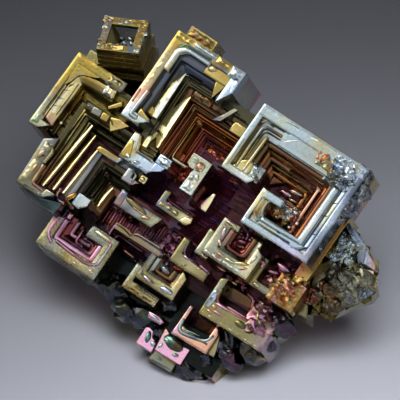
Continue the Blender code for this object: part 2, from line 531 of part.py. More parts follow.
def hidden_pits(grow):
    """Hoppers sunk into the top, left, back and underside."""
    up, left, right, back = (0, 1, 0), (-1, 0, 0), (1, 0, 0), (0, 0, -1)
    across_up, across_left, across_right, across_back = (1, 0, 0), (0, 1, 0), (0, 1, 0), (1, 0, 0)
    pit(grow, (-10.6, 17.9, -6.4), up, across_up, 4.3, 3.9, 3)
    pit(grow, (4.6, 15.9, -4.9), up, across_up, 4.2, 2.5, 3)
    pit(grow, (13.0, 15.9, -4.4), up, across_up, 2.9, 2.2, 2)
    pit(grow, (-3.2, 12.4, -14.2), up, across_up, 5.0, 3.4, 3)
    pit(grow, (7.8, 12.6, -12.2), up, across_up, 4.6, 3.3, 3)
    pit(grow, (-14.6, 9.4, -11.8), up, across_up, 1.9, 2.6, 2)
    pit(grow, (-9.1, 15.4, -14.2), up, across_up, 2.6, 1.9, 2)
    pit(grow, (9.8, 3.1, -18.6), up, across_up, 3.4, 1.9, 2)
    pit(grow, (1.2, 2.1, -21.4), up, across_up, 4.6, 2.5, 3)
    pit(grow, (0.8, -5.7, -27.6), up, across_up, 3.9, 2.4, 2)
    pit(grow, (-26.65, 2.4, -5.2), left, across_left, 4.0, 3.0, 3)
    pit(grow, (-23.65, -8.2, -6.0), left, across_left, 2.3, 3.0, 2)
    pit(grow, (-19.0, 3.6, -12.8), left, across_left, 4.4, 1.9, 2)
    pit(grow, (-12.4, 12.2, -13.0), left, across_left, 2.4, 2.9, 2)
    pit(grow, (-15.0, -8.6, -14.0), left, across_left, 4.8, 2.9, 3)
    pit(grow, (-11.2, -6.0, -19.4), left, across_left, 3.9, 1.6, 2)
    pit(grow, (13.4, 7.1, -12.2), right, across_right, 4.2, 2.9, 3)
    pit(grow, (14.4, -4.4, -17.2), right, across_right, 3.6, 2.7, 2)
    pit(grow, (-12.9, 2.8, -15.4), back, across_back, 4.4, 4.4, 3)
    pit(grow, (-3.6, 7.4, -18.6), back, across_back, 4.0, 3.6, 3)
    pit(grow, (8.2, 7.6, -16.4), back, across_back, 3.9, 3.6, 3)
    pit(grow, (-8.0, -4.6, -21.6), back, across_back, 2.2, 3.0, 2)
    pit(grow, (10.6, -2.2, -21.2), back, across_back, 2.6, 3.9, 2)
    pit(grow, (3.4, -1.6, -24.6), back, across_back, 3.0, 2.8, 2)


FRONT = [top_hopper, middle_frame, upper_left_hopper, lower_left_hopper, right_hopper, centre_pieces,
         lower_frames, lower_left_square, lower_middle_frames, tilted_cube, side_spur, rough_skirt, core]
HIDDEN = [back_blocks, rough_foot]

# ---- joining -------------------------------------------------------------------------------


def raw_object(pieces, name):
    """All the pieces as one mesh of separate closed shells."""
    shape = bmesh.new()
    for points, faces in pieces:
        verts = [shape.verts.new(point) for point in points]
        made = [shape.faces.new([verts[i] for i in face]) for face in faces]
        bmesh.ops.recalc_face_normals(shape, faces=made)
    mesh = bpy.data.meshes.new(name)
    shape.to_mesh(mesh)
    shape.free()
    node = bpy.data.objects.new(name, mesh)
    bpy.context.scene.collection.objects.link(node)
    return node


def metal():
    material = bpy.data.materials.new("oxidised_bismuth")
    material.use_nodes = True
    shader = material.node_tree.nodes["Principled BSDF"]
    shader.inputs["Base Color"].default_value = (0.42, 0.36, 0.30, 1.0)
    shader.inputs["Metallic"].default_value = 1.0
    shader.inputs["Roughness"].default_value = 0.28
    return material


def apply_modifier(node, modifier):
    bpy.context.view_layer.objects.active = node
    bpy.ops.object.modifier_apply(modifier=modifier.name)


def combine(node, other, operation):
    """Join another object's shells to the node, or cut them out of it, as one closed skin."""
    boolean = node.modifiers.new(other.name, "BOOLEAN")
    boolean.operation = operation
    boolean.solver = "EXACT"
    boolean.use_self = True
    boolean.object = other
    apply_modifier(node, boolean)
    bpy.data.objects.remove(other, do_unlink=True)


def keep_main_skin(node):
    """Drop crumbs: loose shells that touch nothing and pockets closed off inside."""
    shape = bmesh.new()
    shape.from_mesh(node.data)
    waiting = set(shape.faces)
    shells = []
    while waiting:
        shell = [waiting.pop()]
        for face in shell:
            for edge in face.edges:
                for other in edge.link_faces:
                    if other in waiting:
                        waiting.remove(other)
                        shell.append(other)
        shells.append(shell)
    shells.sort(key=len)
    for shell in shells[:-1]:
        bmesh.ops.delete(shape, geom=shell, context="FACES")
    shape.to_mesh(node.data)
    shape.free()


def stand_up(node):
    """Turn the crystal to its attitude, cut it flat underneath and set it on the ground."""
    turn = crystal_turn().to_4x4()
    node.data.transform(turn)
    shape = bmesh.new()
    shape.from_mesh(node.data)
    everything = list(shape.verts) + list(shape.edges) + list(shape.faces)
    cut = bmesh.ops.bisect_plane(shape, geom=everything, plane_co=(0, 0, FLOOR_LEVEL), plane_no=(0, 0, -1),
                                 clear_outer=True)
    rim = [item for item in cut["geom_cut"] if isinstance(item, bmesh.types.BMEdge)]
    bmesh.ops.contextual_create(shape, geom=rim)
    bmesh.ops.recalc_face_normals(shape, faces=shape.faces)
    shape.to_mesh(node.data)
    shape.free()
    spots = [vert.co for vert in node.data.vertices]
    middle_x = (min(p.x for p in spots) + max(p.x for p in spots)) / 2
    middle_y = (min(p.y for p in spots) + max(p.y for p in spots)) / 2
    node.data.transform(Matrix.Translation((-middle_x, -middle_y, -FLOOR_LEVEL)))
    node.data.transform(Matrix.Scale(MM, 4))


def gather(makers, name):
    grow = Growth()
    for maker in makers:
        maker(grow)
    return raw_object(grow.pieces, name)


def build():
    clear_scene()
    node = gather(FRONT, NODE_NAME)
    combine(node, gather(HIDDEN, "hidden_side"), "UNION")
    combine(node, gather([hidden_pits], "hidden_pits"), "DIFFERENCE")
    keep_main_skin(node)
    node.data.materials.clear()
    node.data.materials.append(metal())
    stand_up(node)
    return node


if __name__ == "__main__":
    build()
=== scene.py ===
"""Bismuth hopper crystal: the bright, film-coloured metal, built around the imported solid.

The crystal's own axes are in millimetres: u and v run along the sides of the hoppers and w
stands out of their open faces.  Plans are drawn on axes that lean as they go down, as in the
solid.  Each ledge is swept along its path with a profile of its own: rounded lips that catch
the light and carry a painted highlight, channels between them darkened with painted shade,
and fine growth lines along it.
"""

import math
import random

import bmesh
import bpy
from mathutils import geometry, Euler, Matrix, Vector, noise
from mathutils.bvhtree import BVHTree


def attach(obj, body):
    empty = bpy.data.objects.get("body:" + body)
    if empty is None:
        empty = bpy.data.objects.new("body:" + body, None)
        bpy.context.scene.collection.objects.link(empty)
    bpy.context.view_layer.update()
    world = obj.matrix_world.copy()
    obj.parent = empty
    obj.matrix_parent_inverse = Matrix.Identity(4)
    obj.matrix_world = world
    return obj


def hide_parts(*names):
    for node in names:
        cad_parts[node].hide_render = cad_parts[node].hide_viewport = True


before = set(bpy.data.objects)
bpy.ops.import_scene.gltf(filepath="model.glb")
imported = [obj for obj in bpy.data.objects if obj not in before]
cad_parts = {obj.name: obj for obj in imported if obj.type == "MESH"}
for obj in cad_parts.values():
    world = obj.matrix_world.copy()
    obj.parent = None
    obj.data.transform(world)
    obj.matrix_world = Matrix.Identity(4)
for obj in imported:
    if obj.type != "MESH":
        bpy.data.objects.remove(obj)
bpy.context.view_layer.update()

# ---- the crystal's attitude and scale

MM = 0.001
NODE = "bismuth_crystal"
FACE_ELEVATION = math.radians(43.2)
FACE_SWING = math.radians(14.3)
SQUARE_TURN = math.radians(-25.2)
LEAN_U = 0.295
LEAN_V = -0.106
ORIGIN = Vector((0.3146, -7.7078, 25.2))      # where the crystal's origin stands, mm
SEED = 83
noise.seed_set(SEED)     # without it, vector noise would differ from run to run

# ---- sizes of the fine forms, mm

SPACING = 0.45           # distance between the rows of a sweep
END_ROWS = (0.04, 0.12)  # closer rows at the two ends of a sweep
END_DROP = 0.13          # how much lower the very end of a ledge lies
WALL_TOP = -0.5          # heights above this belong to the top of a ledge
SWAY = 0.03              # slow unevenness of every surface
TREMBLE = 0.006          # quick unevenness
GRAIN_SHIFT = 3.7        # sets the growth lines of one ledge apart from those of the next
STEP_OVERLAP = 0.35      # how far a step reaches under the one above it
STEP_STAGGER = 0.01      # what each further step adds, so that no two walls coincide
STAIR_LAG = (0.03, 0.12)  # how much later each step of a stair ends and begins
STAIR_SLANT = 0.3
ROOT = 5.0               # depth of the walls under a ledge
ARC_STEPS = 4            # parts of a rounded corner
BLADE_ROWS, BLADE_COLUMNS = 26, 7
BLADE_CHANGE = 0.3       # a blade's film turns darker from this share of its width to twice it
LENS_BEND = 0.08         # unevenness of a drop, as a share of its size
LUMP_CUTS = 9            # blunt facets of a lump
CUT_REACH = (0.62, 0.86)  # their distance from its middle
CUT_DEPTH = 0.88         # how fully they flatten what stands beyond them
CELLS = 0.75             # a rough patch: height of its sharp cells,
HUMPS = 0.45             # of its slower humps,
MIDDLE_HEIGHT = 0.2      # of its middle
DEEPEST = -0.35          # and of its hollows, as shares of its own height
BORDER_SINK = 0.12       # how far its border lies under its level
SOFT_EDGE = 0.07         # bevel of a box
BASE_SINK = 0.5          # how far the base lies under the swept ledges
BASE_SHRINK = 0.05
BASE_EDGE = 0.09         # bevel of the base,
BASE_EDGE_ANGLE = math.radians(35)      # on edges sharper than this
FLAT_ANGLE = math.radians(0.5)          # faces this close to one plane are joined
FLOOR_LEVEL = -4.5       # the base is darkest below this level
FLOOR_END = 18.0         # and short of this u
OPEN_SIDE = 0.3          # faces that look outward by more than this belong to the open side
SHARP_ANGLE = math.radians(42)
FACE_WEIGHT = 60         # how strongly the large faces hold the shading flat
FOOT_CLEARANCE = 0.00008  # m, the lowest that a swept piece may reach


def crystal_turn():
    """Rotation from the crystal's axes to the way the specimen stands."""
    level_part = math.cos(FACE_ELEVATION)
    outward = Vector((-math.sin(FACE_SWING) * level_part, -math.cos(FACE_SWING) * level_part,
                      math.sin(FACE_ELEVATION)))
    across = Vector((0, 0, 1)).cross(outward).normalized()
    upward = outward.cross(across)
    side_u = across * math.cos(SQUARE_TURN) + upward * math.sin(SQUARE_TURN)
    side_v = outward.cross(side_u)
    return Matrix((side_u, side_v, outward)).transposed()


TURN = crystal_turn()


def stand(spot):
    """World position, in metres, of a place in the crystal's axes."""
    return (TURN @ spot + ORIGIN) * MM


def seat(u, v, level):
    """Crystal position of the plan point (u, v) at a level."""
    return Vector((u + LEAN_U * level, v + LEAN_V * level, level))


def overlap(count):
    """How far the step of this number reaches under the one above it."""
    return STEP_OVERLAP + STEP_STAGGER * count


# ---- oxide films, from thin to thick

FILM_GAIN = 1.25
FILM_LEVEL = 0.95     # with the power below: lets the darkest films show their colour
FILM_POWER = 0.9
LIFT = 0.022          # least reflectance of any film
FILM_TOP = 0.96       # highest reflectance of a film
TONE_TOP = 0.97       # and of its palest tone

SILVER = "94a5aa"
PEARL = "bcc6c4"
STEEL = "91a3b6"
LILAC = "a8a6c2"
STRAW = "d2c694"
CREAM = "8f8a66"
KHAKI = "928860"
GOLD = "8c7834"
BRASS = "b09854"
OLIVE = "6a623a"
DRAB = "6e7062"
SAGE = "94967c"
AMBER = "a05c20"
BROWN = "6e4624"
MOSS = "464024"
COPPER = "9a562c"
RED = "782c1c"
SALMON = "c8967c"
PINK = "cd96b0"
ROSE = "a56a7e"
MAUVE = "78626e"
PLUM = "583246"
WINE = "3e2438"
MAROON = "682c26"
PURPLE = "54407a"
SLATE = "4e5664"
NAVY = "3a4458"
TEAL = "547c70"
MINT = "8cb6a0"
GREY = "7c8082"
# The last four serve the base's painted shade in its deep floor, with the dark hues of the oxide.
BLACK = "1b1615"
DARK_RED = "472629"
DARK_VIOLET = "3d2237"
DARK_GREEN = "151d1c"


def film(text):
    """Reflectance of an oxide film from the tint that a level face shows."""
    values = [int(text[i:i + 2], 16) / 255 for i in (0, 2, 4)]
    linear = [((c + 0.055) / 1.055) ** 2.4 if c > 0.04045 else c / 12.92 for c in values]
    return [min(FILM_TOP, c * FILM_GAIN) for c in linear]


def shown(tint):
    """Colour of a film on the finished metal, with the least reflectance added."""
    return [LIFT + (1 - LIFT) * FILM_LEVEL * c ** FILM_POWER for c in tint] + [1.0]


def toned(tint, tone):
    """Darker or paler tone of a film: painted shade and highlight on ledges, plates and boxes, random tone
    elsewhere.
    """
    return [min(TONE_TOP, c * tone) for c in tint]


def mix(a, b, share):
    """Film colour between two others."""
    return [x + (y - x) * share for x, y in zip(a, b)]


def along_films(films, share):
    """Film colour at a share of the way along a ledge."""
    tints = [film(name) for name in films]
    if len(tints) == 1:
        return tints[0]
    place = min(max(share, 0.0), 0.9999) * (len(tints) - 1)
    first = int(place)
    return mix(tints[first], tints[first + 1], place - first)


# ---- plans of the ledges


def square_u(u, v, *turns):
    """Path with square corners that runs first to a new u, then to a new v, and so on by turns."""
    path = [(u, v)]
    for i, place in enumerate(turns):
        u, v = (u, place) if i % 2 else (place, v)
        path.append((u, v))
    return path


def square_v(u, v, next_v, *turns):
    """The same, but it runs first to a new v."""
    return [(u, v)] + square_u(u, next_v, *turns)


def right_of(way):
    """Direction at a right angle to a way, on its right."""
    return Vector((way.y, -way.x))


def offset_path(path, widths, start, end):
    """Corner points of the line that runs beside a path, on its right, at each width."""
    spots = [Vector(p) for p in path]
    ways = [(b - a).normalized() for a, b in zip(spots, spots[1:])]
    rights = [right_of(way) for way in ways]
    inner = [spots[0] + rights[0] * widths[0] - ways[0] * start]
    for i in range(1, len(ways)):
        before, after = rights[i - 1], rights[i]
        det = before.x * after.y - before.y * after.x
        inner.append(spots[i] + Vector(((widths[i - 1] * after.y - widths[i] * before.y) / det,
                                        (widths[i] * before.x - widths[i - 1] * after.x) / det)))
    inner.append(spots[-1] + rights[-1] * widths[-1] + ways[-1] * end)
    return inner


def rounded(path, widths, radius):
    """The path with its square corners turned into arcs, and the width of each of its parts."""
    spots = [Vector(p) for p in path]
    new_path = [spots[0]]
    new_widths = [widths[0]]
    for i in range(1, len(spots) - 1):
        back = spots[i - 1] - spots[i]
        ahead = spots[i + 1] - spots[i]
        reach = min(radius, back.length * 0.45, ahead.length * 0.45)
        first = spots[i] + back.normalized() * reach
        last = spots[i] + ahead.normalized() * reach
        for k in range(ARC_STEPS + 1):
            t = k / ARC_STEPS
            new_path.append(first * (1 - t) ** 2 + spots[i] * 2 * t * (1 - t) + last * t * t)
            share = min(1.0, (k + 1) / (ARC_STEPS + 1))
            new_widths.append(widths[i - 1] + (widths[i] - widths[i - 1]) * share)
    new_path.append(spots[-1])
    return new_path, new_widths[:len(new_path) - 1]


# ---- cross-sections
# Each point of a profile: share of the width, further millimetres inward, height, tone.  A tone
# below one darkens the film and above one makes it paler: painted shade in the channels and
# down the walls, and a painted highlight on the lips and crests.

RIM = [
    (0, 0.00, -0.16, 0.95), (0, 0.05, -0.05, 1.1), (0, 0.14, 0.0, 1.12), (0.5, 0.0, -0.02, 1.0),
    (1, -0.14, 0.0, 1.08), (1, -0.05, -0.05, 1.0), (1, 0.0, -0.16, 0.8),
]
LIP = [
    (0, 0.00, -0.10, 0.55), (0, 0.34, -0.12, 0.55), (1, -0.62, -0.24, 0.6), (1, -0.44, -0.26, 0.75),
    (1, -0.26, -0.02, 1.2), (1, -0.14, 0.05, 1.25), (1, -0.05, 0.01, 1.0), (1, 0.0, -0.12, 0.6),
]
FLUTE = [
    (0, 0.00, 0.00, 0.6), (0, 0.30, -0.05, 0.6), (0.5, 0.0, -0.2, 0.55), (1, -0.56, -0.42, 0.5),
    (1, -0.44, -0.32, 0.65), (1, -0.32, -0.19, 0.8), (1, -0.2, -0.11, 0.9), (1, -0.1, -0.08, 0.9),
    (1, -0.03, -0.12, 0.8), (1, 0.0, -0.2, 0.6),
]
PLAIN_STEP = [
    (0, 0.00, -0.02, 0.6), (0, 0.34, -0.04, 0.6), (1, -0.3, -0.22, 0.65), (1, -0.16, -0.16, 0.8),
    (1, -0.08, -0.13, 0.9), (1, 0.0, -0.2, 0.6),
]
ROUND = [
    (0, 0.00, -0.34, 0.4), (0.05, 0.0, -0.20, 0.5), (0.14, 0.0, -0.10, 0.6), (0.28, 0.0, -0.02, 0.75),
    (0.5, 0.0, 0.03, 0.8), (0.72, 0.0, -0.02, 0.7), (0.9, 0.0, -0.14, 0.5), (1, 0.0, -0.34, 0.4),
]
SLOPE_IN = [
    (0, 0.00, -0.10, 0.9), (0, 0.05, -0.02, 1.1), (0, 0.12, 0.0, 1.1), (0.5, 0.0, -0.16, 0.95),
    (1, -0.08, -0.42, 0.85), (1, 0.0, -0.5, 0.7),
]

# The side and top of a plate, from its foot up: inset as a share of the bevel, drop (none for
# its root), tone.  The tones are painted shade down the side, darkest at the foot, and a painted
# highlight on the bevel.  The last ring, with no inset, lies inside the top face.
PLATE_RINGS = [(0, None, 0.55), (0, 0.6, 0.75), (0, 0.12, 0.9), (0.4, 0.03, 1.1), (1, 0.0, 1.1),
               (None, 0.0, 1.0)]


class Skin:
    """Closed swept pieces with a film colour and a growth-line coordinate at each point."""

    def __init__(self):
        self.spots = []
        self.faces = []
        self.tints = []
        self.grain = []
        self.grit = []
        self.coarse = 0.0
        self.shade = 1.0
        self.count = 1       # number of the piece in hand

    def put(self, spot, tint, grain):
        """Adds a point and gives its number."""
        self.spots.append(spot)
        self.tints.append([c * self.shade for c in tint])
        self.grain.append(grain)
        self.grit.append(self.coarse)
        return len(self.spots) - 1

    def close(self, rows):
        """Joins rows of equal length into a tube and caps both its ends."""
        size = len(rows[0])
        for a, b in zip(rows, rows[1:]):
            for k in range(size):
                m = (k + 1) % size
                self.faces.append((a[k], a[m], b[m], b[k]))
        self.faces.append(tuple(rows[0][::-1]))
        self.faces.append(tuple(rows[-1]))
        self.count += 1

    def ball(self, detail, shaped):
        """Ball of metal; shaped gives the place, film and grain of each of its points."""
        shape = bmesh.new()
        bmesh.ops.create_icosphere(shape, subdivisions=detail, radius=1.0)
        index = {vert.index: self.put(*shaped(vert.co)) for vert in shape.verts}
        for face in shape.faces:
            self.faces.append(tuple(index[vert.index] for vert in face.verts))
        shape.free()
        self.count += 1

    def sweep(self, path, widths, level, profile, films, root=ROOT, start=0.0, end=0.0, skirt=None, ease=0.12):
        """Ledge along a clockwise path.  skirt is the depth of its outer wall and root of its
        inner one; ease is how far its ends are rounded off."""
        outer = root if skirt is None else skirt
        # The walls are painted darker towards their foot, 0.8 down to 0.6: painted shade under the ledge.
        section = [(0, 0.0, -outer, 0.7), (0, 0.0, -outer * 0.5, 0.75), (0, 0.0, -0.55, 0.8), *profile,
                   (1, 0.0, -0.6, 0.75), (1, 0.0, -root * 0.55, 0.65), (1, 0.0, -root, 0.6)]
        lines = []
        for share, shift, _, _ in section:
            reaches = [share * width + shift for width in widths]
            lines.append(offset_path(path, reaches, start * share, end * share))
        middle = [(a + b) / 2 for a, b in zip(lines[0], lines[-1])]
        lengths = [(b - a).length for a, b in zip(middle, middle[1:])]
        total = sum(lengths)
        rows = []
        run = 0.0
        for j, length in enumerate(lengths):
            steps = max(1, math.ceil(length / SPACING))
            places = [i / steps for i in range(steps)]
            if j == 0:
                places += [reach / length for reach in END_ROWS]
            if j == len(lengths) - 1:
                places += [1.0] + [1.0 - reach / length for reach in END_ROWS]
            for place in sorted(places):
                distance = run + place * length
                soft = max(0.0, 1.0 - min(distance, total - distance) / ease)
                base = along_films(films, distance / total)
                row = []
                across = 0.0
                before = None
                for line, (_, _, height, tone) in zip(lines, section):
                    flat = line[j].lerp(line[j + 1], place)
                    spot = seat(flat.x, flat.y, level)
                    spot.z += height
                    if height > WALL_TOP:
                        spot.z -= END_DROP * soft * soft
                    if before is not None:
                        across += (spot - before).length
                    before = spot
                    row.append(self.put(spot, toned(base, tone), across + self.count * GRAIN_SHIFT))
                rows.append(row)
            run += length
        self.close(rows)

    def stairs(self, foot, end_u, corner, steps, films, profiles, root=ROOT):
        """Chevron of steps that go down from an outer corner."""
        edge_u, edge_v = corner
        end_lag, foot_lag = STAIR_LAG
        for count, (next_u, next_v, level) in enumerate(steps):
            back = overlap(count)
            path = [(edge_u - back, foot + foot_lag * count), (edge_u - back, edge_v + back),
                    (end_u + end_lag * count, edge_v + back)]
            widths = [next_u - edge_u + back, edge_v + back - next_v]
            self.sweep(path, widths, level, profiles[count], films[count], root, start=STAIR_SLANT)
            edge_u, edge_v = next_u, next_v

    def ridge(self, start, end, width, level, films, root=1.2):
        """Half-round ridge between two plan points."""
        along = (Vector(end) - Vector(start)).normalized()
        side = Vector((-along.y, along.x)) * width / 2
        path = [Vector(start) + side, Vector(end) + side]
        self.sweep(path, [width], level, ROUND, films, root, ease=0.3)

    def coil(self, path, widths, radius, level, profile, films, root=ROOT, start=0.0):
        """Sweep round a path with rounded corners; a single width holds for all its parts."""
        if len(widths) == 1:
            widths = widths * (len(path) - 1)
        new_path, new_widths = rounded(path, widths, radius)
        self.sweep(new_path, new_widths, level, profile, films, root, start)

    def blade(self, top, bottom, widths, level, films, root=2.2, curl=0.3, lean=0.0):
        """Crescent facet that curls down towards its left edge; lean is how much of the curl is
        an even slope, so that 0 leaves it level along its right edge."""
        pale, dark = film(films[0]), film(films[-1])
        rows = []
        for i in range(BLADE_ROWS + 1):
            t = i / BLADE_ROWS
            place = t * (len(widths) - 1)
            first = min(int(place), len(widths) - 2)
            wide = widths[first] + (widths[first + 1] - widths[first]) * (place - first)
            right = Vector(top).lerp(Vector(bottom), t)
            row = []
            for k in range(BLADE_COLUMNS + 1):
                share = k / BLADE_COLUMNS
                spot = seat(right.x - wide * share, right.y, level)
                spot.z -= curl * wide * share * (lean + (1.0 - lean) * share)
                tint = mix(pale, dark, min(1.0, max(0.0, (share - BLADE_CHANGE) / BLADE_CHANGE)))
                row.append(self.put(spot, tint, right.x + share))
            # The walls under the blade take its second film at 0.6: painted shade.
            for share in (1.0, 0.0):
                spot = seat(right.x - wide * share, right.y, level)
                spot.z -= root
                row.append(self.put(spot, [c * 0.6 for c in dark], right.x + share))
            rows.append(row)
        self.close(rows)

    def lens(self, place, radii, films, turn=0.0, detail=3):
        """Smooth drop of metal, its middle given as u, v and level."""
        centre = seat(*place)
        spin = Euler((0, 0, math.radians(turn))).to_matrix()

        def shaped(co):
            spot = Vector((co.x * radii[0], co.y * radii[1], co.z * radii[2]))
            bend = 1.0 + LENS_BEND * noise.noise(co * 1.7 + centre)
            return centre + spin @ (spot * bend), along_films(films, 0.5 + 0.5 * co.x), co.z

        self.ball(detail, shaped)

    def rock(self, u0, u1, v0, v1, level, high, seed, films, root=1.5, step=0.17, edge=0.5, scale=1.15):
        """Patch of rough, broken metal that stands a little out of a level face."""
        wide = max(3, round((u1 - u0) / step))
        tall = max(3, round((v1 - v0) / step))
        away = Vector((seed * 3.1, seed * 1.7, seed * 0.9))
        grid = []
        for j in range(tall + 1):
            row = []
            for i in range(wide + 1):
                u = u0 + (u1 - u0) * i / wide
                v = v0 + (v1 - v0) * j / tall
                swell = min(1.0, min(u - u0, u1 - u, v - v0, v1 - v) / edge)
                place = Vector((u, v, 0.0)) * scale + away
                cell = noise.voronoi(place, distance_metric="DISTANCE")[0]
                crag = CELLS * (cell[1] - cell[0]) + HUMPS * noise.noise(place * 1.9) + MIDDLE_HEIGHT
                spot = seat(u, v, level)
                spot.z += high * swell * max(DEEPEST, crag) - BORDER_SINK * (1.0 - swell)
                share = 0.5 + 0.8 * noise.noise(place * 0.8 / scale + Vector((5, 2, 1)))
                row.append(self.put(spot, along_films(films, share), u * 2))
            grid.append(row)
        for a, b in zip(grid, grid[1:]):
            for i in range(wide):
                self.faces.append((a[i], a[i + 1], b[i + 1], b[i]))
        ring = [row[0] for row in grid] + grid[-1][1:] + [row[-1] for row in grid[-2::-1]] + grid[0][-2:0:-1]
        low = [self.put(self.spots[index] - Vector((0, 0, root)), self.tints[index], 0.0) for index in ring]
        for i in range(len(ring)):
            m = (i + 1) % len(ring)
            self.faces.append((ring[i], ring[m], low[m], low[i]))
        self.faces.append(tuple(low))
        self.count += 1

    def plate(self, outline, level, films, root=ROOT, fall=None, bevel=0.1, tone=1.0):
        """Flat-topped block with a clockwise plan outline and a softened top edge; fall is how
        much lower each of its corners lies."""
        count = len(outline)
        drops = fall or [0.0] * count
        points = [Vector(p) for p in outline]
        middle = sum(points, Vector((0, 0))) / count
        rings = []
        for part, below, shade in PLATE_RINGS:
            inset = None if part is None else bevel * part
            drop = root if below is None else below
            ring = []
            for i, point in enumerate(points):
                before = right_of((point - points[i - 1]).normalized())
                after = right_of((points[(i + 1) % count] - point).normalized())
                det = before.x * after.y - before.y * after.x
                own = drops[i]
                if inset is None:
                    flat = point.lerp(middle, 0.45)
                    own = own * 0.55 + sum(drops) / count * 0.45
                elif abs(det) < 0.15:
                    flat = point + before * inset
                else:
                    shift = Vector((inset * (after.y - before.y) / det, inset * (before.x - after.x) / det))
                    if shift.length > 3 * max(inset, 1e-6):
                        shift *= 3 * inset / shift.length
                    flat = point + shift
                spot = seat(flat.x, flat.y, level)
                spot.z -= drop + (own if drop < root else 0.0)
                ring.append(self.put(spot, toned(along_films(films, i / count), shade * tone), inset or 0.3))
            rings.append(ring)
        self.close(rings)

    def block(self, u0, u1, v0, v1, level, films, root=ROOT):
        """Plate with a square plan."""
        self.plate([(u0, v0), (u0, v1), (u1, v1), (u1, v0)], level, films, root)

    def lump(self, centre, radii, seed, films, detail=3, rough=0.22):
        """Knobbly lump of metal: a ball pushed about by noise, with blunt facets."""
        dice = random.Random(SEED * 77 + seed)
        cuts = []
        for _ in range(LUMP_CUTS):
            way = Vector((dice.uniform(-1, 1), dice.uniform(-1, 1), dice.uniform(-1, 1))).normalized()
            cuts.append((way, dice.uniform(*CUT_REACH)))
        away = Vector((seed * 1.37, seed * 0.61, seed * 2.11))

        def shaped(co):
            spot = co.copy()
            for way, reach in cuts:
                over = spot.dot(way) - reach
                if over > 0:
                    spot -= way * over * CUT_DEPTH
            spot *= 1.0 + rough * noise.noise(co * 2.1 + away) + 0.4 * rough * noise.noise(co * 5.3 + away)
            share = 0.5 + 0.9 * noise.noise(co * 1.4 - away)
            tint = toned(along_films(films, share), 0.85 + 0.5 * noise.noise(co * 3.0 + away * 2))
            return centre + Vector((spot.x * radii[0], spot.y * radii[1], spot.z * radii[2])), tint, spot.z * 2

        self.ball(detail, shaped)

    def cube(self, centre, turn, box, films, tone=1.0, uneven=0.0):
        """Box along axes of its own, with softened edges and, if asked, uneven faces."""
        a0, a1, b0, b1, c0, c1 = box
        shape = bmesh.new()
        bmesh.ops.create_cube(shape, size=1.0)
        for vert in shape.verts:
            vert.co = [low if c < 0 else high for c, low, high in zip(vert.co, box[::2], box[1::2])]
        bmesh.ops.bevel(shape, geom=list(shape.edges), offset=SOFT_EDGE, segments=2, affect="EDGES",
                        profile=0.6)
        if uneven:
            bmesh.ops.subdivide_edges(shape, edges=[edge for edge in shape.edges if edge.calc_length() > 0.5],
                                      cuts=5, use_grid_fill=True)
            shape.normal_update()
            away = centre * 0.7
            moves = [vert.normal * uneven * (noise.noise(vert.co * 1.3 + away) - 0.25
                                             + 0.6 * noise.noise(vert.co * 3.7 + away)) for vert in shape.verts]
            for vert, move in zip(shape.verts, moves):
                vert.co += move
        shape.verts.index_update()
        index = {}
        size = max(a1 - a0, b1 - b0, c1 - c0)
        for vert in shape.verts:
            share = 0.5 + (vert.co.x + vert.co.y - (a0 + a1 + b0 + b1) / 2) / (2 * size)
            # Points lower than 0.3 below the top are painted at 0.6 of its tone: painted shade on the sides.
            tint = toned(along_films(films, share), tone * (0.6 if vert.co.z < c1 - 0.3 else 1.0))
            index[vert.index] = self.put(centre + turn @ vert.co, tint, vert.co.z + vert.co.y)
        rings = []
        for face in shape.faces:
            ring = [index[vert.index] for vert in face.verts]
            first = ring.index(min(ring))
            rings.append(tuple(ring[first:] + ring[:first]))
        self.faces.extend(sorted(rings))     # the cuts above make their faces in no fixed order
        shape.free()
        self.count += 1

    def facets(self, outline, inner, palettes, root=3.0, seed=0):
        """Broad flat facets between points of chosen height, each with a film of its own."""
        points = outline + inner
        flat = [Vector((u, v)) for u, v, w in points]
        edge = [(i, (i + 1) % len(outline)) for i in range(len(outline))]
        spots, _, faces = geometry.delaunay_2d_cdt(flat, edge, [], 1, 1e-5)[:3]
        heights = [min(points, key=lambda q: (q[0] - spot.x) ** 2 + (q[1] - spot.y) ** 2)[2] for spot in spots]
        dice = random.Random(SEED * 7 + seed)
        for face in faces:
            base = along_films(dice.choice(palettes), dice.random())
            gain = dice.uniform(0.75, 1.2)
            corners = []
            for i in face:
                tint = toned(base, gain * dice.uniform(0.85, 1.15))
                place = seat(spots[i].x, spots[i].y, heights[i])
                corners.append(self.put(place, tint, heights[i] * 3 + spots[i].x))
            self.faces.append(tuple(corners))
        under = along_films(palettes[0], 0.5)
        for a, b in edge:
            wall = [self.put(seat(*points[i]) - Vector((0, 0, drop)), under, drop)
                    for i, drop in ((a, 0.0), (b, 0.0), (b, root), (a, root))]
            self.faces.append(tuple(wall))
        foot = [self.put(seat(*point) - Vector((0, 0, root)), under, 0.0) for point in outline]
        self.faces.append(tuple(foot[::-1]))
        self.count += 1

    def prism(self, top, bottom, films, tone=1.0):
        """Closed prism between two rings of crystal positions."""
        # The bottom ring is painted at half the top's tone: painted shade towards the foot.
        self.close([[self.put(spot, toned(along_films(films, i / len(ring)), shade * tone), float(i))
                     for i, spot in enumerate(ring)] for ring, shade in ((bottom, 0.5), (top, 1.0))])

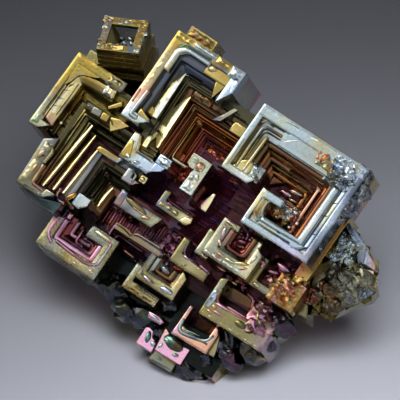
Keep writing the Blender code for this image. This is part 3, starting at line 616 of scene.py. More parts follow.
    def make(self, name, material):
        """The pieces as one uneven, smooth-shaded mesh."""
        placed = []
        for spot in self.spots:
            slow = noise.noise_vector(spot * 0.55) * SWAY
            quick = noise.noise_vector(spot * 2.3 + Vector((9, 4, 7))) * TREMBLE
            place = stand(spot + slow + quick)
            place.z = max(place.z, FOOT_CLEARANCE)
            placed.append(place)
        mesh = bpy.data.meshes.new(name)
        mesh.from_pydata(placed, [], self.faces)
        shape = bmesh.new()
        shape.from_mesh(mesh)
        bmesh.ops.recalc_face_normals(shape, faces=shape.faces)
        shape.to_mesh(mesh)
        shape.free()
        colours = mesh.color_attributes.new("film", "FLOAT_COLOR", "POINT")
        colours.data.foreach_set("color", [c for tint in self.tints for c in shown(tint)])
        for layer, values in (("grain", self.grain), ("grit", self.grit)):
            mesh.attributes.new(layer, "FLOAT", "POINT").data.foreach_set("value", values)
        mesh.shade_smooth()
        mesh.set_sharp_from_angle(angle=SHARP_ANGLE)
        piece = link(name, mesh)
        mesh.materials.append(material)
        weigh = piece.modifiers.new("flat_faces", "WEIGHTED_NORMAL")
        weigh.keep_sharp = True
        weigh.weight = FACE_WEIGHT
        return piece


def link(name, data):
    """Object in the scene that carries a mesh, a light or a camera."""
    thing = bpy.data.objects.new(name, data)
    bpy.context.scene.collection.objects.link(thing)
    return thing


# ---- the hoppers


def top_hopper(skin):
    """Tall chevron hopper at the top, with the deepest stair of steps."""
    skin.coarse = 0.25
    skin.shade = 0.98
    skin.sweep(square_u(-13.6, 3.9, -16.2, 17.9, -4.75, 14.5), [1.4, 1.45, 1.6, 1.5], 0, RIM,
        [SILVER, PEARL, SALMON, KHAKI, KHAKI, GOLD, BRASS, GOLD, SLATE, SILVER, STEEL], root=11.5, skirt=2.2,
        start=1.4, end=2.2)
    skin.coarse = 0.0
    skin.coil([(-15.15, 12.3), (-15.15, 15.7), (-13.9, 16.7), (-9.7, 16.7)], [1.2, 1.15, 0.95], 1.2, 0.2, ROUND,
        [STRAW, PEARL, PEARL], root=2)
    skin.coil([(-14.6, 14), (-14.6, 16.95), (-9.9, 17)], [0.3], 1, 0.12, LIP, [NAVY, TEAL, SLATE], root=1.5)
    skin.coil([(-13.9, 4.25), (-15.5, 4.25), (-15.25, 8.8)], [0.9, 0.8], 0.8, 0.15, ROUND,
        [PEARL, SILVER, PEARL, SALMON], root=1)
    skin.sweep([(-16.1, 6.2), (-16.1, 8.4)], [0.45], 0.1, ROUND, [SALMON], root=1)
    skin.plate([(-14.3, 4.8), (-14.3, 6.2), (-12.2, 5.4), (-12.9, 4.9)], -0.4, [GOLD, BRASS], root=3)
    skin.rock(-16.15, -13.2, 16.6, 17.85, 0.05, 0.3, 3, [GOLD, BRASS, STRAW])
    skin.rock(-13.2, -9.4, 17, 17.85, 0.05, 0.3, 4, [SLATE, SILVER, GREY])
    skin.rock(-16.15, -14.9, 9, 13.4, -0.05, 0.16, 5, [KHAKI, STRAW, KHAKI])
    skin.plate([(-9.9, 14.8), (-9.9, 16.7), (-6.2, 16.9), (-6, 14.8)], -0.25, [BRASS, GOLD, BRASS], root=3,
        fall=[0.12, 0, 0, 0.1], bevel=0.3)
    skin.lens((-9, 15.9, -0.45), (0.75, 0.5, 0.4), [STRAW, BRASS], 20)
    skin.plate([(-7.8, 14.9), (-6, 15.2), (-6.85, 12.3)], -0.75, [GOLD], root=4)
    skin.rock(-9.3, -6.9, 16.8, 17.85, 0.1, 0.35, 6, [GOLD, BRASS, KHAKI])
    skin.rock(-6.9, -4.85, 16.2, 17.85, 0.12, 0.42, 7, [PEARL, SILVER, PEARL])
    skin.plate([(-6.2, 14), (-5.55, 16.3), (-4.85, 16.4), (-4.85, 14.5), (-6.6, 12.7)], 0.05, [STEEL], root=3,
        fall=[0.3, 0, 0, 0, 0.3])
    skin.coarse = 0.5
    skin.block(-15, -10.5, 17.75, 19.4, -1.55, [OLIVE, GOLD, OLIVE])
    skin.rock(-14.9, -10.6, 17.85, 19.3, -1.5, 0.3, 8, [OLIVE, BROWN, GOLD])
    skin.coarse = 0.0
    skin.shade = 0.65
    skin.sweep(square_u(-12.1, 5.9, -13.7, 14.75, -6.6), [1.1, 1.9, 1.4], -2.4, SLOPE_IN,
        [GOLD, OLIVE, MOSS, NAVY, NAVY, MOSS], root=7, start=0.5)
    skin.shade = 1.0
    skin.blade((-11.75, 13.4), (-11.6, 6.1), [0.12, 0.6, 1.15, 1.5, 1.7, 1.65, 0.8], -1.65, [GREY, CREAM],
        curl=0.2, lean=0.7)
    skin.plate([(-13.5, 6.1), (-13.3, 7.4), (-12.4, 6.9), (-12.3, 6.1)], -1.8, [GOLD], root=2.5)
    skin.coil([(-11.9, 12.9), (-11.75, 13.5), (-9.6, 13.55)], [0.3], 0.4, -1.95, ROUND, [STRAW, PEARL, KHAKI])
    skin.blade((-9.35, 11.1), (-9.1, 2.8), [0.1, 0.85, 1.35, 1.55, 1.45, 1.15, 0.3], -3.25, [STRAW, CREAM],
        curl=0.2, lean=0.7)
    skin.shade = 0.6
    skin.sweep(square_v(-14.75, 5.2, 16.4, -6.4), [1.3, 1.8], -1.05, RIM,
        [MOSS, SLATE, SLATE, SLATE, SLATE, SLATE], root=9)
    skin.shade = 0.9
    steps = [(-10.4, 12.1, -3.5), (-9.15, 11.2, -4.3), (-8.35, 10.4, -5), (-7.6, 9.8, -5.6), (-6.95, 9.2, -6.2),
        (-5.9, 8.5, -6.9), (-4.9, 7.9, -7.6), (-4.2, 7.4, -8.3), (-3.6, 6.9, -8.9)]
    films = [[MOSS], [MOSS, BROWN, MOSS], [BROWN, BROWN, MOSS], [COPPER, BROWN, BROWN], [BROWN, AMBER, AMBER],
        [AMBER, BROWN, AMBER], [COPPER, RED, AMBER], [RED, MAROON, COPPER], [COPPER, RED, AMBER]]
    skin.stairs(2, 0.3, (-11.85, 13.4), steps, films, [PLAIN_STEP, PLAIN_STEP, LIP, PLAIN_STEP, LIP, PLAIN_STEP,
        LIP, PLAIN_STEP, LIP], root=6)
    skin.coil(square_u(-4.4, 2.35, -6.98, 8.7), [0.75, 0.38], 0.7, -5.65, ROUND,
        [SALMON, STRAW, STRAW, BRASS, AMBER], root=3, start=0.5)
    for count, (u, v) in enumerate([(-11.35, 12.95), (-10.95, 12.6), (-10.6, 12.3)]):
        skin.ridge((u, v - 0.2), (u + 0.05, 3.6 + count), 0.17, -3.42,
            [[BROWN, MOSS], [OLIVE, BROWN], [BROWN, GOLD]][count])
        skin.ridge((u + 0.5, v), (-3.4 + count * 1.2, v + 0.05), 0.17, -3.42,
            [[MOSS, OLIVE], [BROWN, OLIVE]][count % 2])
    skin.ridge((-8.2, 9.6), (-8.3, 3), 0.22, -5.25, [COPPER, AMBER])
    skin.ridge((-5.85, 8.3), (-5.75, 4.1), 0.22, -6.65, [COPPER, SALMON])
    skin.coil([(-3.8, 4.2), (-3.8, 7.05), (-0.2, 7.1)], [0.32], 1.1, -8.4, ROUND, [ROSE, PINK, SALMON], root=2)
    skin.ridge((-6, 9), (-0.5, 8.95), 0.3, -6.2, [AMBER, BRASS, COPPER])
    skin.ridge((-4.4, 8.2), (-0.4, 8.2), 0.25, -6.9, [MAROON, COPPER])
    skin.ridge((-8.6, 10.6), (-4, 10.7), 0.25, -4.9, [BROWN, AMBER])
    skin.rock(-3.4, 0.6, 2.6, 7, -8.95, 0.5, 9, [RED, AMBER, MAROON, COPPER, RED], root=2, edge=0.3, scale=0.7)
    skin.rock(-9.6, -6.4, 11.3, 12.6, -3.75, 0.35, 10, [MOSS, BROWN, OLIVE])
    skin.block(-2.3, -0.3, 10.1, 11.7, -3.9, [BRASS, GOLD], root=6)
    skin.plate([(-4.8, 10.3), (-4.1, 10.6), (-3, 12.9), (-3.3, 12.9), (-4.2, 11.2)], -3.3, [SLATE, STRAW],
        root=2)


def middle_frame(skin):
    """Broken piece of rim, between the top hopper and the centre."""
    skin.shade = 1.15
    skin.sweep(square_u(-8.4, -1, -13.1, 3.2, -12), [2, 1.6, 1], -2.6, RIM,
        [STEEL, STEEL, SILVER, GOLD, SILVER, PEARL], root=7.5, start=1.5)
    skin.plate([(-13, -0.7), (-13, 1.6), (-12.4, 1.9), (-11.7, 0), (-12.2, -0.8)], -2.5, [GOLD], root=1.5)
    skin.plate([(-12.95, 1.8), (-12.9, 3.1), (-12, 3.15), (-11.7, 1.9)], -2.45, [PEARL, SILVER], root=1.5)
    skin.sweep([(-11.9, 3.2), (-11.1, 1.2), (-8.6, 1.2)], [0.55, 0.55], -2.35, ROUND,
        [GOLD, STRAW, SILVER, STRAW], root=2)
    skin.ridge((-10.4, 1.75), (-8.7, 1.75), 0.35, -2.6, [STEEL])
    for u, v, size in ((-12, -0.35, 0.62), (-10.3, -0.45, 0.7), (-11.1, -0.75, 0.4), (-9.4, -0.7, 0.4)):
        skin.lump(seat(u, v, -2.75), (size, size * 0.55, 0.42), int(size * 100), [PEARL, SILVER], detail=2)
    skin.plate([(-11.4, 1.9), (-11.35, 3.4), (-10.55, 4.6), (-10.4, 2)], -2.1, [STRAW], root=3,
        fall=[0.5, 0.3, 0, 0], tone=1.2)
    skin.block(-8.3, -6.3, 1, 2.4, -2.25, [STEEL, SILVER], root=6)
    skin.plate([(-8.2, 1), (-6.5, 1.1), (-6.9, 0.3), (-8.3, -0.6)], -2.6, [STEEL])
    skin.ridge((-7.8, 1.2), (-6.9, 1.9), 0.35, -2.1, [PEARL])
    skin.lump(seat(-7.1, 1.7, -2.4), (1, 0.6, 0.45), 1, [SILVER, PEARL])


def far_left_hopper(skin):
    """Broad gold chevron at the far left."""
    skin.shade = 0.92
    skin.coarse = 0.1
    skin.sweep([(-24.8, -3.8), (-26.35, -3.8), (-26.1, 8), (-17.8, 8)], [1.3, 1.05, 1.5], -1, RIM,
        [SAGE, SAGE, DRAB, GOLD, GOLD, GOLD, GOLD, GOLD, DRAB], root=8, skirt=1, start=1.3)
    skin.plate([(-25.35, 2.6), (-25.25, 6.8), (-20.8, 6.8), (-21.9, 6.45), (-23.6, 5.85), (-24.4, 5.2),
        (-24.9, 4.2)], -1.02, [GOLD, GOLD, GOLD, DRAB, GOLD], root=2, bevel=0.12)
    skin.block(-24.9, -21.2, 7.75, 9.2, -2.2, [OLIVE, GOLD], root=4)
    skin.rock(-26.2, -24.9, -3.7, -1.8, -1, 0.3, 50, [SAGE, STRAW, TEAL, SAGE])
    skin.rock(-20.6, -18, 6.4, 7.9, -1, 0.35, 51, [DRAB, GOLD, SILVER])
    skin.coarse = 0.0
    skin.ridge((-25.25, 4.6), (-25.55, -2.2), 0.34, -0.9, [GOLD, STRAW])
    skin.coil([(-25.2, -1.9), (-25, 5.9), (-18.4, 6.3)], [1.8, 1.45], 1.5, -1.5, SLOPE_IN,
        [SALMON, STRAW, KHAKI, STRAW, STRAW, GOLD, GOLD, BRASS, GOLD], root=6, start=0.6)
    skin.blade((-23.55, 4.3), (-23.65, -0.9), [0.3, 1.1, 1.4, 1.45, 1.3, 0.8], -1.4, [OLIVE, DRAB], curl=0.2,
        lean=0.7)
    for v in (-0.1, 1.1, 2.5, 3.4):
        skin.ridge((-25, v), (-23.65, v + 0.5), 0.11, -1.44, [MOSS, OLIVE])
    for u, v in ((-25.8, 2.2), (-25.7, 5.2), (-25, 7.1), (-22.6, 7.3), (-24.2, 6.9)):
        skin.ridge((u - 0.4, v - 0.16), (u + 0.4, v + 0.16), 0.1, -0.97, [OLIVE, MOSS])
    for u, v in ((-25, 6.7), (-24.9, 6.2), (-24.7, 5.7), (-20.4, 7.2), (-25.6, 0.3), (-25.4, -0.6)):
        skin.ridge((u - 0.25, v - 0.1), (u + 0.25, v + 0.1), 0.14, -0.93, [PEARL])
    skin.plate([(-19.9, 5), (-20.2, 6.4), (-18.6, 6.6), (-18.3, 5.2)], -1.35, [STRAW, GOLD], root=2, bevel=0.2)
    skin.rock(-20.1, -18.5, 5, 6.5, -1.3, 0.4, 52, [STRAW, PEARL, GOLD])
    steps = [(-23.5, 4.9, -2.3), (-22.3, 3.9, -3.1), (-21.2, 3, -3.8), (-19.85, 1.9, -4.5)]
    films = [[BROWN, MOSS, MOSS, OLIVE], [OLIVE, GOLD, OLIVE, OLIVE], [GOLD, GOLD, MOSS, OLIVE],
        [GREY, DRAB, MOSS]]
    skin.stairs(-3.2, -15, (-24.85, 6.4), steps, films, [FLUTE, FLUTE, FLUTE, PLAIN_STEP], root=6)
    skin.ridge((-22.2, 3.2), (-22.25, 0.2), 0.3, -2.75, [GOLD, AMBER])
    skin.lens((-22.4, -1.5, -2.95), (0.26, 0.4, 0.26), [STRAW], -10, 2)
    skin.blade((-20.5, 2.6), (-20.85, -3), [0.3, 0.55, 0.6, 0.6, 0.45], -3.25, [GOLD, STRAW], curl=0.28)
    skin.plate([(-20.6, -4.6), (-20.4, 2), (-19.85, 1.8), (-20.1, -4.4)], -3.9, [GREY, DRAB], root=2)
    skin.plate([(-18.3, 3.9), (-16.95, 5.6), (-16.6, 4.9), (-18, 3.5)], -1.8, [GOLD], root=4)
    skin.plate([(-18.4, 2.9), (-17.2, 3), (-17.2, 2), (-18.3, 1.85)], -2.45, [GOLD], root=4.5)
    skin.plate([(-19.9, 2.9), (-18.5, 3), (-18.4, 2), (-19.9, 1.9)], -2.9, [DRAB], root=4.5)
    skin.plate([(-17.1, 2.9), (-15.6, 3.4), (-14.1, 3.2), (-16, 1.1), (-16.6, 1.9)], -2.4, [GOLD, BRASS, GOLD],
        root=4.5)
    skin.ridge((-17, 2.7), (-16.2, 2.1), 0.3, -2.25, [STRAW])
    for v in (2, 2.5, 3):
        skin.ridge((-16.3, v), (-15.3, v + 0.2), 0.08, -2.36, [MOSS])


def left_hopper(skin):
    """Long stair of parallel ledges below the far left chevron."""
    skin.coarse = 0.2
    skin.shade = 0.62
    skin.sweep([(-18.8, -11.6), (-22.95, -11.6), (-23.25, -4.4)], [1.4, 1.9], -2, RIM,
        [DRAB, DRAB, OLIVE, DRAB, OLIVE, GREY], root=8, skirt=0.9, start=1.5, end=0.9)
    skin.rock(-22.9, -21.4, -7, -4.4, -2, 0.32, 60, [GREY, SAGE, STRAW, DRAB])
    skin.rock(-23, -21.6, -10.8, -7.2, -2, 0.22, 62, [SAGE, DRAB, STRAW, OLIVE], step=0.24)
    skin.shade = 0.85
    skin.rock(-22.8, -19, -11.5, -10.9, -2, 0.3, 61, [DRAB, SAGE, OLIVE])
    skin.lens((-22.2, -6.4, -1.85), (0.25, 0.75, 0.25), [STRAW, SALMON], -12)
    skin.lens((-21.9, -8.6, -1.85), (0.2, 0.8, 0.25), [SALMON, STRAW], -4)
    skin.coarse = 0.0
    skin.coil([(-19, -10.9), (-21.3, -10.75), (-21.4, -7.5)], [0.6, 0.55], 0.8, -1.85, ROUND,
        [SALMON, ROSE, SALMON, STRAW, SALMON, STRAW], root=1.5)
    skin.coil([(-21.55, -7.3), (-21.35, -5.2), (-22.4, -5)], [0.5, 0.4], 0.5, -1.85, ROUND, [STRAW], root=1.5)
    skin.plate([(-19, -11), (-18.8, -10.1), (-17.2, -10.1), (-18.7, -11.5)], -2, [SAGE, DRAB], root=2.5)
    steps = [(-20.2, 1.2, -3), (-19, 0.5, -3.7), (-17.75, -0.4, -4.4), (-16.4, -1.2, -5), (-15.1, -2.1, -5.5),
        (-14.2, -3, -6.2), (-13.1, -3.9, -6.9), (-11.9, -4.9, -7.5), (-10.4, -6, -8.1)]
    films = [[BROWN, OLIVE, OLIVE, MOSS], [BROWN, OLIVE, MOSS, MOSS], [MAROON, OLIVE, OLIVE, MOSS],
        [MAROON, BROWN, MOSS, MOSS], [GREY, GREY, SLATE, MOSS], [WINE, MOSS, MOSS], [MOSS], [OLIVE, MOSS, MOSS],
        [BROWN, BROWN, MAROON]]
    skin.stairs(-10.2, -8.8, (-21.2, 2.2), steps, films, [FLUTE, FLUTE, FLUTE, FLUTE, RIM, PLAIN_STEP, FLUTE,
        FLUTE, PLAIN_STEP], root=6)
    blades = [((-18.45, 0.55), (-19.35, -10), [0.3, 0.5, 0.56, 0.56, 0.5], -3.05, [STRAW]),
        ((-17.3, -0.4), (-17.85, -9.7), [0.3, 0.5, 0.52, 0.5, 0.45], -3.75, [STRAW]),
        ((-15.85, -1.5), (-16.4, -9.4), [0.3, 0.45, 0.5, 0.5, 0.45], -4.4, [STRAW])]
    for upper, lower, widths, level, tints in blades:
        skin.blade(upper, lower, widths, level, tints, curl=0.36)
    ridges = [((-18.42, 0.5), (-19.3, -9.9), 0.3, -3.12, [GOLD, BRASS, SALMON]),
        ((-17.22, -0.5), (-17.8, -9.6), 0.26, -3.82, [GOLD, BRASS]),
        ((-20.35, -4.8), (-20.45, -9), 0.22, -2.95, [DRAB, SALMON]),
        ((-14.15, -3.6), (-14.25, -7.9), 0.24, -5.8, [DRAB]),
        ((-12.85, -4.3), (-13, -7.8), 0.24, -6.5, [DRAB, SAGE]),
        ((-10.28, -6.5), (-10.35, -10.5), 0.24, -7.7, [BROWN]),
        ((-18.3, 0.75), (-16.4, 0.8), 0.22, -3.2, [OLIVE, GOLD]),
        ((-17.3, -0.45), (-13.4, -0.95), 0.22, -3.9, [OLIVE, BROWN])]
    for upper, lower, width, level, tints in ridges:
        skin.ridge(upper, lower, width, level, tints)
    skin.blade((-11.1, -5.1), (-11.35, -8.3), [0.2, 0.5, 0.55, 0.45, 0.2], -6.9, [STRAW], curl=0.34)
    skin.plate([(-16.3, -2), (-16.1, -1.2), (-12.6, -1.1), (-13.2, -2.05)], -4.4, [GOLD, GOLD, GREY], root=4)
    skin.plate([(-13.2, -2), (-12.9, -1.15), (-12.2, -1.1), (-12.6, -1.9)], -4.35, [GREY, SILVER], root=4)
    skin.coil([(-17, -8.9), (-16.9, -10.3), (-15.6, -10.2)], [0.55, 0.6], 0.6, -4.25, ROUND,
        [PINK, SALMON, PINK, SALMON], root=3)
    skin.ridge((-16, -9.75), (-14.1, -10.35), 0.5, -4.4, [SALMON, BRASS, SALMON], root=3)
    skin.lens((-15.3, -9.2, -4.3), (0.42, 0.95, 0.4), [BRASS, AMBER, BRASS], -30)
    skin.plate([(-14.8, -9.9), (-14.6, -8.1), (-12.65, -8.1), (-12.65, -9.1), (-13.6, -10.1)], -4.1,
        [SILVER, PEARL, SAGE], root=5.5)
    skin.shade = 0.4
    skin.plate([(-20.6, -12.4), (-21.2, -11.4), (-15.9, -10.8), (-15.9, -12.6)], -4.3, [DRAB, NAVY, SLATE],
        root=4)
    skin.facets([(-22.3, -11.9, -3.4), (-18.6, -11.6, -2.7), (-15.8, -10.6, -3.9), (-15.9, -12.5, -4.6),
        (-20.4, -12.5, -4.6)], [(-19.4, -12.1, -3.5), (-17.3, -11.6, -3.6)],
        [[DRAB, SLATE], [NAVY, TEAL], [SLATE, TEAL]], root=2, seed=2)


def right_hopper(skin):
    """Broad silver hopper whose rim coils right round and hooks back inward."""
    rim = square_u(4.2, 5.3, -0.4, 15.9, 17.35, 0.5, 6.25, 6.2, 10)
    skin.sweep(rim, [1.25, 3.2, 4.1, 3.05, 2.4, 1.95, 1.2], 0, RIM,
        [SAGE, MOSS, MOSS, SILVER, SILVER, SILVER, GREY, LILAC, SILVER, SILVER, GOLD, SILVER], root=8,
        skirt=1.9, start=0.9)
    # outer raised edge
    skin.coarse = 0.08
    skin.sweep(square_u(4.1, 5.35, -0.35, 15.85), [1.1, 0.95], 0.62, RIM, [PEARL, SAGE, SILVER, SILVER],
        root=2.9, start=0.6)
    skin.sweep([(-0.35, 15.85), (17.3, 15.85)], [1.75], 0.62, RIM,
        [SILVER, SILVER, SILVER, SAGE, SILVER, STEEL], root=2.9)
    skin.sweep(square_v(17.3, 15.9, 0.55, 6.3), [1.05, 1], 0.62, RIM,
        [SLATE, SLATE, STEEL, SLATE, LILAC, SILVER, SILVER], root=3)
    skin.sweep(square_u(8.4, 0.55, 6.3, 6.15, 9.9), [0.9, 0.7, 1.15], 0.6, RIM,
        [SILVER, SILVER, STRAW, SILVER, SILVER], root=3)
    skin.coarse = 0.0
    skin.shade = 0.9
    # left arm: gold line, dark channels and the pale ridge between them, all round the corner
    skin.sweep([(0.1, 6), (0.1, 10.4)], [0.3], 0.66, ROUND, [STRAW, STRAW, SILVER], root=1)
    skin.coil([(0.58, 6.6), (0.58, 14.25), (4.4, 14.35)], [0.62], 1.5, 0.3, SLOPE_IN,
        [GOLD, MOSS, MOSS, BROWN, SILVER, MAUVE], root=2)
    skin.coil([(1.12, 6.5), (1.12, 13.5), (4.3, 13.55)], [0.52, 0.5], 1.2, 0.45, ROUND,
        [STRAW, STRAW, SAGE, PEARL, GREY, SALMON], root=2)
    skin.coil([(1.75, 6.4), (1.75, 12.85), (4.5, 12.9)], [0.6, 0.5], 0.9, 0.2, SLOPE_IN,
        [GOLD, OLIVE, MOSS, GREY], root=2)
    skin.sweep([(2.25, 6.4), (2.45, 12.2)], [0.6], 0.35, ROUND, [STRAW, STRAW, GOLD], root=3)
    skin.plate([(0.7, 6), (1.5, 7.6), (2.6, 8.5), (3.4, 7.9), (3.3, 6.4), (2, 5.7)], 0.34,
        [STRAW, GOLD, STRAW, BRASS], root=2, fall=[0.1, 0, 0.1, 0.2, 0.1, 0], bevel=0.25)
    # the broad plate at the top
    skin.plate([(4.55, 12), (4.6, 13.6), (6.2, 14.9), (10.9, 15), (12.9, 12)], 0.58,
        [SILVER, SILVER, SILVER, SAGE, SILVER], root=2)
    skin.blade((6.6, 14), (5, 12.7), [0.1, 0.3, 0.1], 0.68, [PEARL, STRAW], root=0.6)
    skin.rock(5.6, 10.6, 12.5, 14.2, 0.5, 0.13, 21, [SILVER, STRAW, SILVER], step=0.3, edge=0.8)
    skin.ridge((3.6, 15.3), (6, 15.45), 0.16, 0.66, [PEARL, SILVER])
    skin.rock(7.6, 10.6, 14.9, 15.8, 0.58, 0.26, 22, [BRASS, STRAW, SAGE])
    skin.rock(7.4, 10.9, 12.9, 15, 0.52, 0.12, 28, [STRAW, SILVER, STRAW, SAGE], step=0.3, edge=1, scale=0.5)
    skin.rock(9.6, 12.9, 12.3, 14.9, 0.5, 0.42, 23, [KHAKI, AMBER, OLIVE, STRAW])
    skin.lens((11.15, 13.9, 0.5), (0.5, 0.85, 0.45), [COPPER, AMBER, STRAW], -15)
    skin.rock(11.9, 16.6, 13.3, 15.8, 0.5, 0.75, 24, [SILVER, PEARL, STEEL, SILVER])
    skin.rock(12.4, 17.3, 11.3, 13.7, 0.3, 0.85, 25, [SLATE, SILVER, MOSS, PEARL])
    skin.lump(seat(13.4, 12.3, 0.2), (0.75, 0.65, 0.55), 8, [MOSS, DRAB])
    skin.lens((15.4, 13.4, 0.6), (0.8, 0.4, 0.5), [PEARL, SILVER], 25)
    # right arm: a shallow channel between two flat edges
    skin.sweep([(16.3, 11.6), (16.3, 2)], [1.15], 0.32, SLOPE_IN, [STEEL, SAGE, SLATE, STEEL], root=2)
    skin.sweep([(15.25, 11.4), (15.25, 2.3), (8.5, 2.1)], [0.85, 0.6], 0.52, RIM,
        [SILVER, PEARL, SILVER, SILVER], root=2)
    for u, v in ((16, 9.6), (15.7, 7.4), (16.1, 4.6)):
        skin.ridge((u - 0.45, v - 0.2), (u + 0.4, v + 0.22), 0.16, 0.36, [PEARL])
    for shift in (0, 0.42, 0.84):
        skin.ridge((13.8 + shift, 1), (16.4 + shift * 0.3, 2.6 + shift * 0.6), 0.2, 0.62, [PEARL, STEEL])
    # bottom arm and the hook
    skin.ridge((8.6, 1.62), (13.6, 1.72), 0.3, 0.52, [STRAW, SAGE, SILVER])
    skin.coil([(8.15, 1.7), (6.85, 2.6), (6.85, 5.3), (7.9, 5.75)], [0.9, 0.75, 0.6], 0.9, 0.42, SLOPE_IN,
        [SILVER, GOLD, STRAW, PEARL, PEARL], root=2)
    skin.coil([(8.6, 2.3), (7.7, 3.3), (7.7, 5), (8.3, 5.2)], [0.5, 0.5, 0.4], 0.7, 0.5, ROUND,
        [PEARL, PEARL, SAGE], root=2)
    skin.plate([(3.3, 6), (3.3, 8.3), (5.2, 8.3), (5.2, 7), (4.2, 5.6)], -0.1, [PEARL, SILVER, GREY, SLATE],
        root=6)
    skin.rock(3.3, 5.2, 6, 8.3, 0, 0.8, 26, [SLATE, PEARL, SILVER, GREY])
    skin.lens((3.9, 6.3, 0), (0.6, 0.35, 0.3), [PEARL, STRAW], 10)
    # the pit
    skin.shade = 0.85
    films = [[OLIVE, BROWN, BROWN, COPPER], [BROWN, AMBER, COPPER, BROWN], [BROWN, BROWN, SALMON, COPPER],
        [AMBER, BROWN, COPPER, BROWN], [BROWN, AMBER, COPPER, BROWN]]
    reach = [0, 0.85, 1.5, 2.3, 2.95]
    for count, level in enumerate([-0.8, -1.9, -2.9, -3.8, -4.6]):
        back = overlap(count)
        drop = reach[count]
        wide = [0.85, 0.65, 0.8, 0.65, 0.7][count] + back
        path = square_v(2.9 + drop - back, 5.5, 11.8 - drop + back, 14.3 - drop * 0.8 + back, 2.6)
        skin.coil(path, [wide, wide, wide * 0.85], 0.9, level, SLOPE_IN if count % 2 else ROUND, films[count])
    for v, u0, u1, level, tints in ((11.05, 7.6, 13.2, -1, [COPPER, SALMON]),
            (10.1, 8, 12.4, -2.5, [BROWN, ROSE]), (9, 8.6, 11.8, -3.6, [SALMON, STRAW]),
            (8.3, 9, 11.4, -4.2, [COPPER, AMBER])):
        skin.ridge((u0, v), (u1, v - 0.15), 0.42, level, tints)
    for count in range(6):
        skin.ridge((12.4 + 0.34 * count, 10.2 - 0.2 * count), (12.5 + 0.34 * count, 4.6), 0.17,
            -3.6 + 0.5 * count, [[COPPER, BROWN], [SALMON, COPPER], [BROWN, AMBER]][count % 3])
    skin.lens((9.4, 7.05, -4.7), (1.15, 0.4, 0.55), [ROSE, PINK, PEARL], 4)
    skin.lens((10.6, 7.9, -4.2), (1.1, 0.3, 0.4), [SALMON, PEARL], 8)
    skin.lens((10.9, 6.75, -4.5), (0.8, 0.25, 0.5), [STRAW], 6)
    skin.plate([(3.4, 8.4), (4.6, 11), (7.4, 11), (8.4, 8.6), (6.5, 7)], -4.4, [BROWN, COPPER, BROWN, MAROON],
        root=3.5, fall=[0.2, 0, 0.3, 1, 0.8], bevel=0.4)
    skin.ridge((4.6, 8.2), (7.6, 10.6), 0.4, -4.25, [BROWN, COPPER])
    # The rough patch and drops deep in the pit are brightened to 1.6 to make up for the shade there: painted
    # light.
    skin.shade = 1.6
    skin.rock(8.8, 13.6, 2.9, 6.4, -3.8, 1.6, 27, [AMBER, MAUVE, SALMON, PEARL, BROWN], root=4, step=0.15)
    for count, (u, v, size) in enumerate([(10.4, 4.7, 0.5), (12.1, 5.5, 0.55), (13.2, 4.4, 0.5),
            (11.6, 3.8, 0.5), (10.2, 3.7, 0.4), (12.6, 3.4, 0.4)]):
        tints = [[BRASS, AMBER], [MAUVE, PEARL], [SALMON, SILVER], [PEARL, GREY]][count % 4]
        skin.lens((u, v, -3.2 + 0.2 * (count % 3)), (size, size * 0.8, 0.5), tints, 30 * count, 2)
    skin.shade = 0.9
    corner = [(17.3, 14.3, 1.7), (18, 12.2, 1.8), (17.8, 10.2, 1.7), (16.2, 13.1, 1.5), (16, 14.9, 1.1),
        (13.6, 12.4, 1)]
    skin.coarse = 0.5
    for count, (u, v, size) in enumerate(corner):
        tints = [NAVY, SLATE, GREY, SLATE] if u > 17 else [SILVER, PEARL, SLATE]
        skin.lump(seat(u, v, -0.95), (size * 0.82, size * 0.97, 1.55), 20 + count, tints, detail=4, rough=0.32)


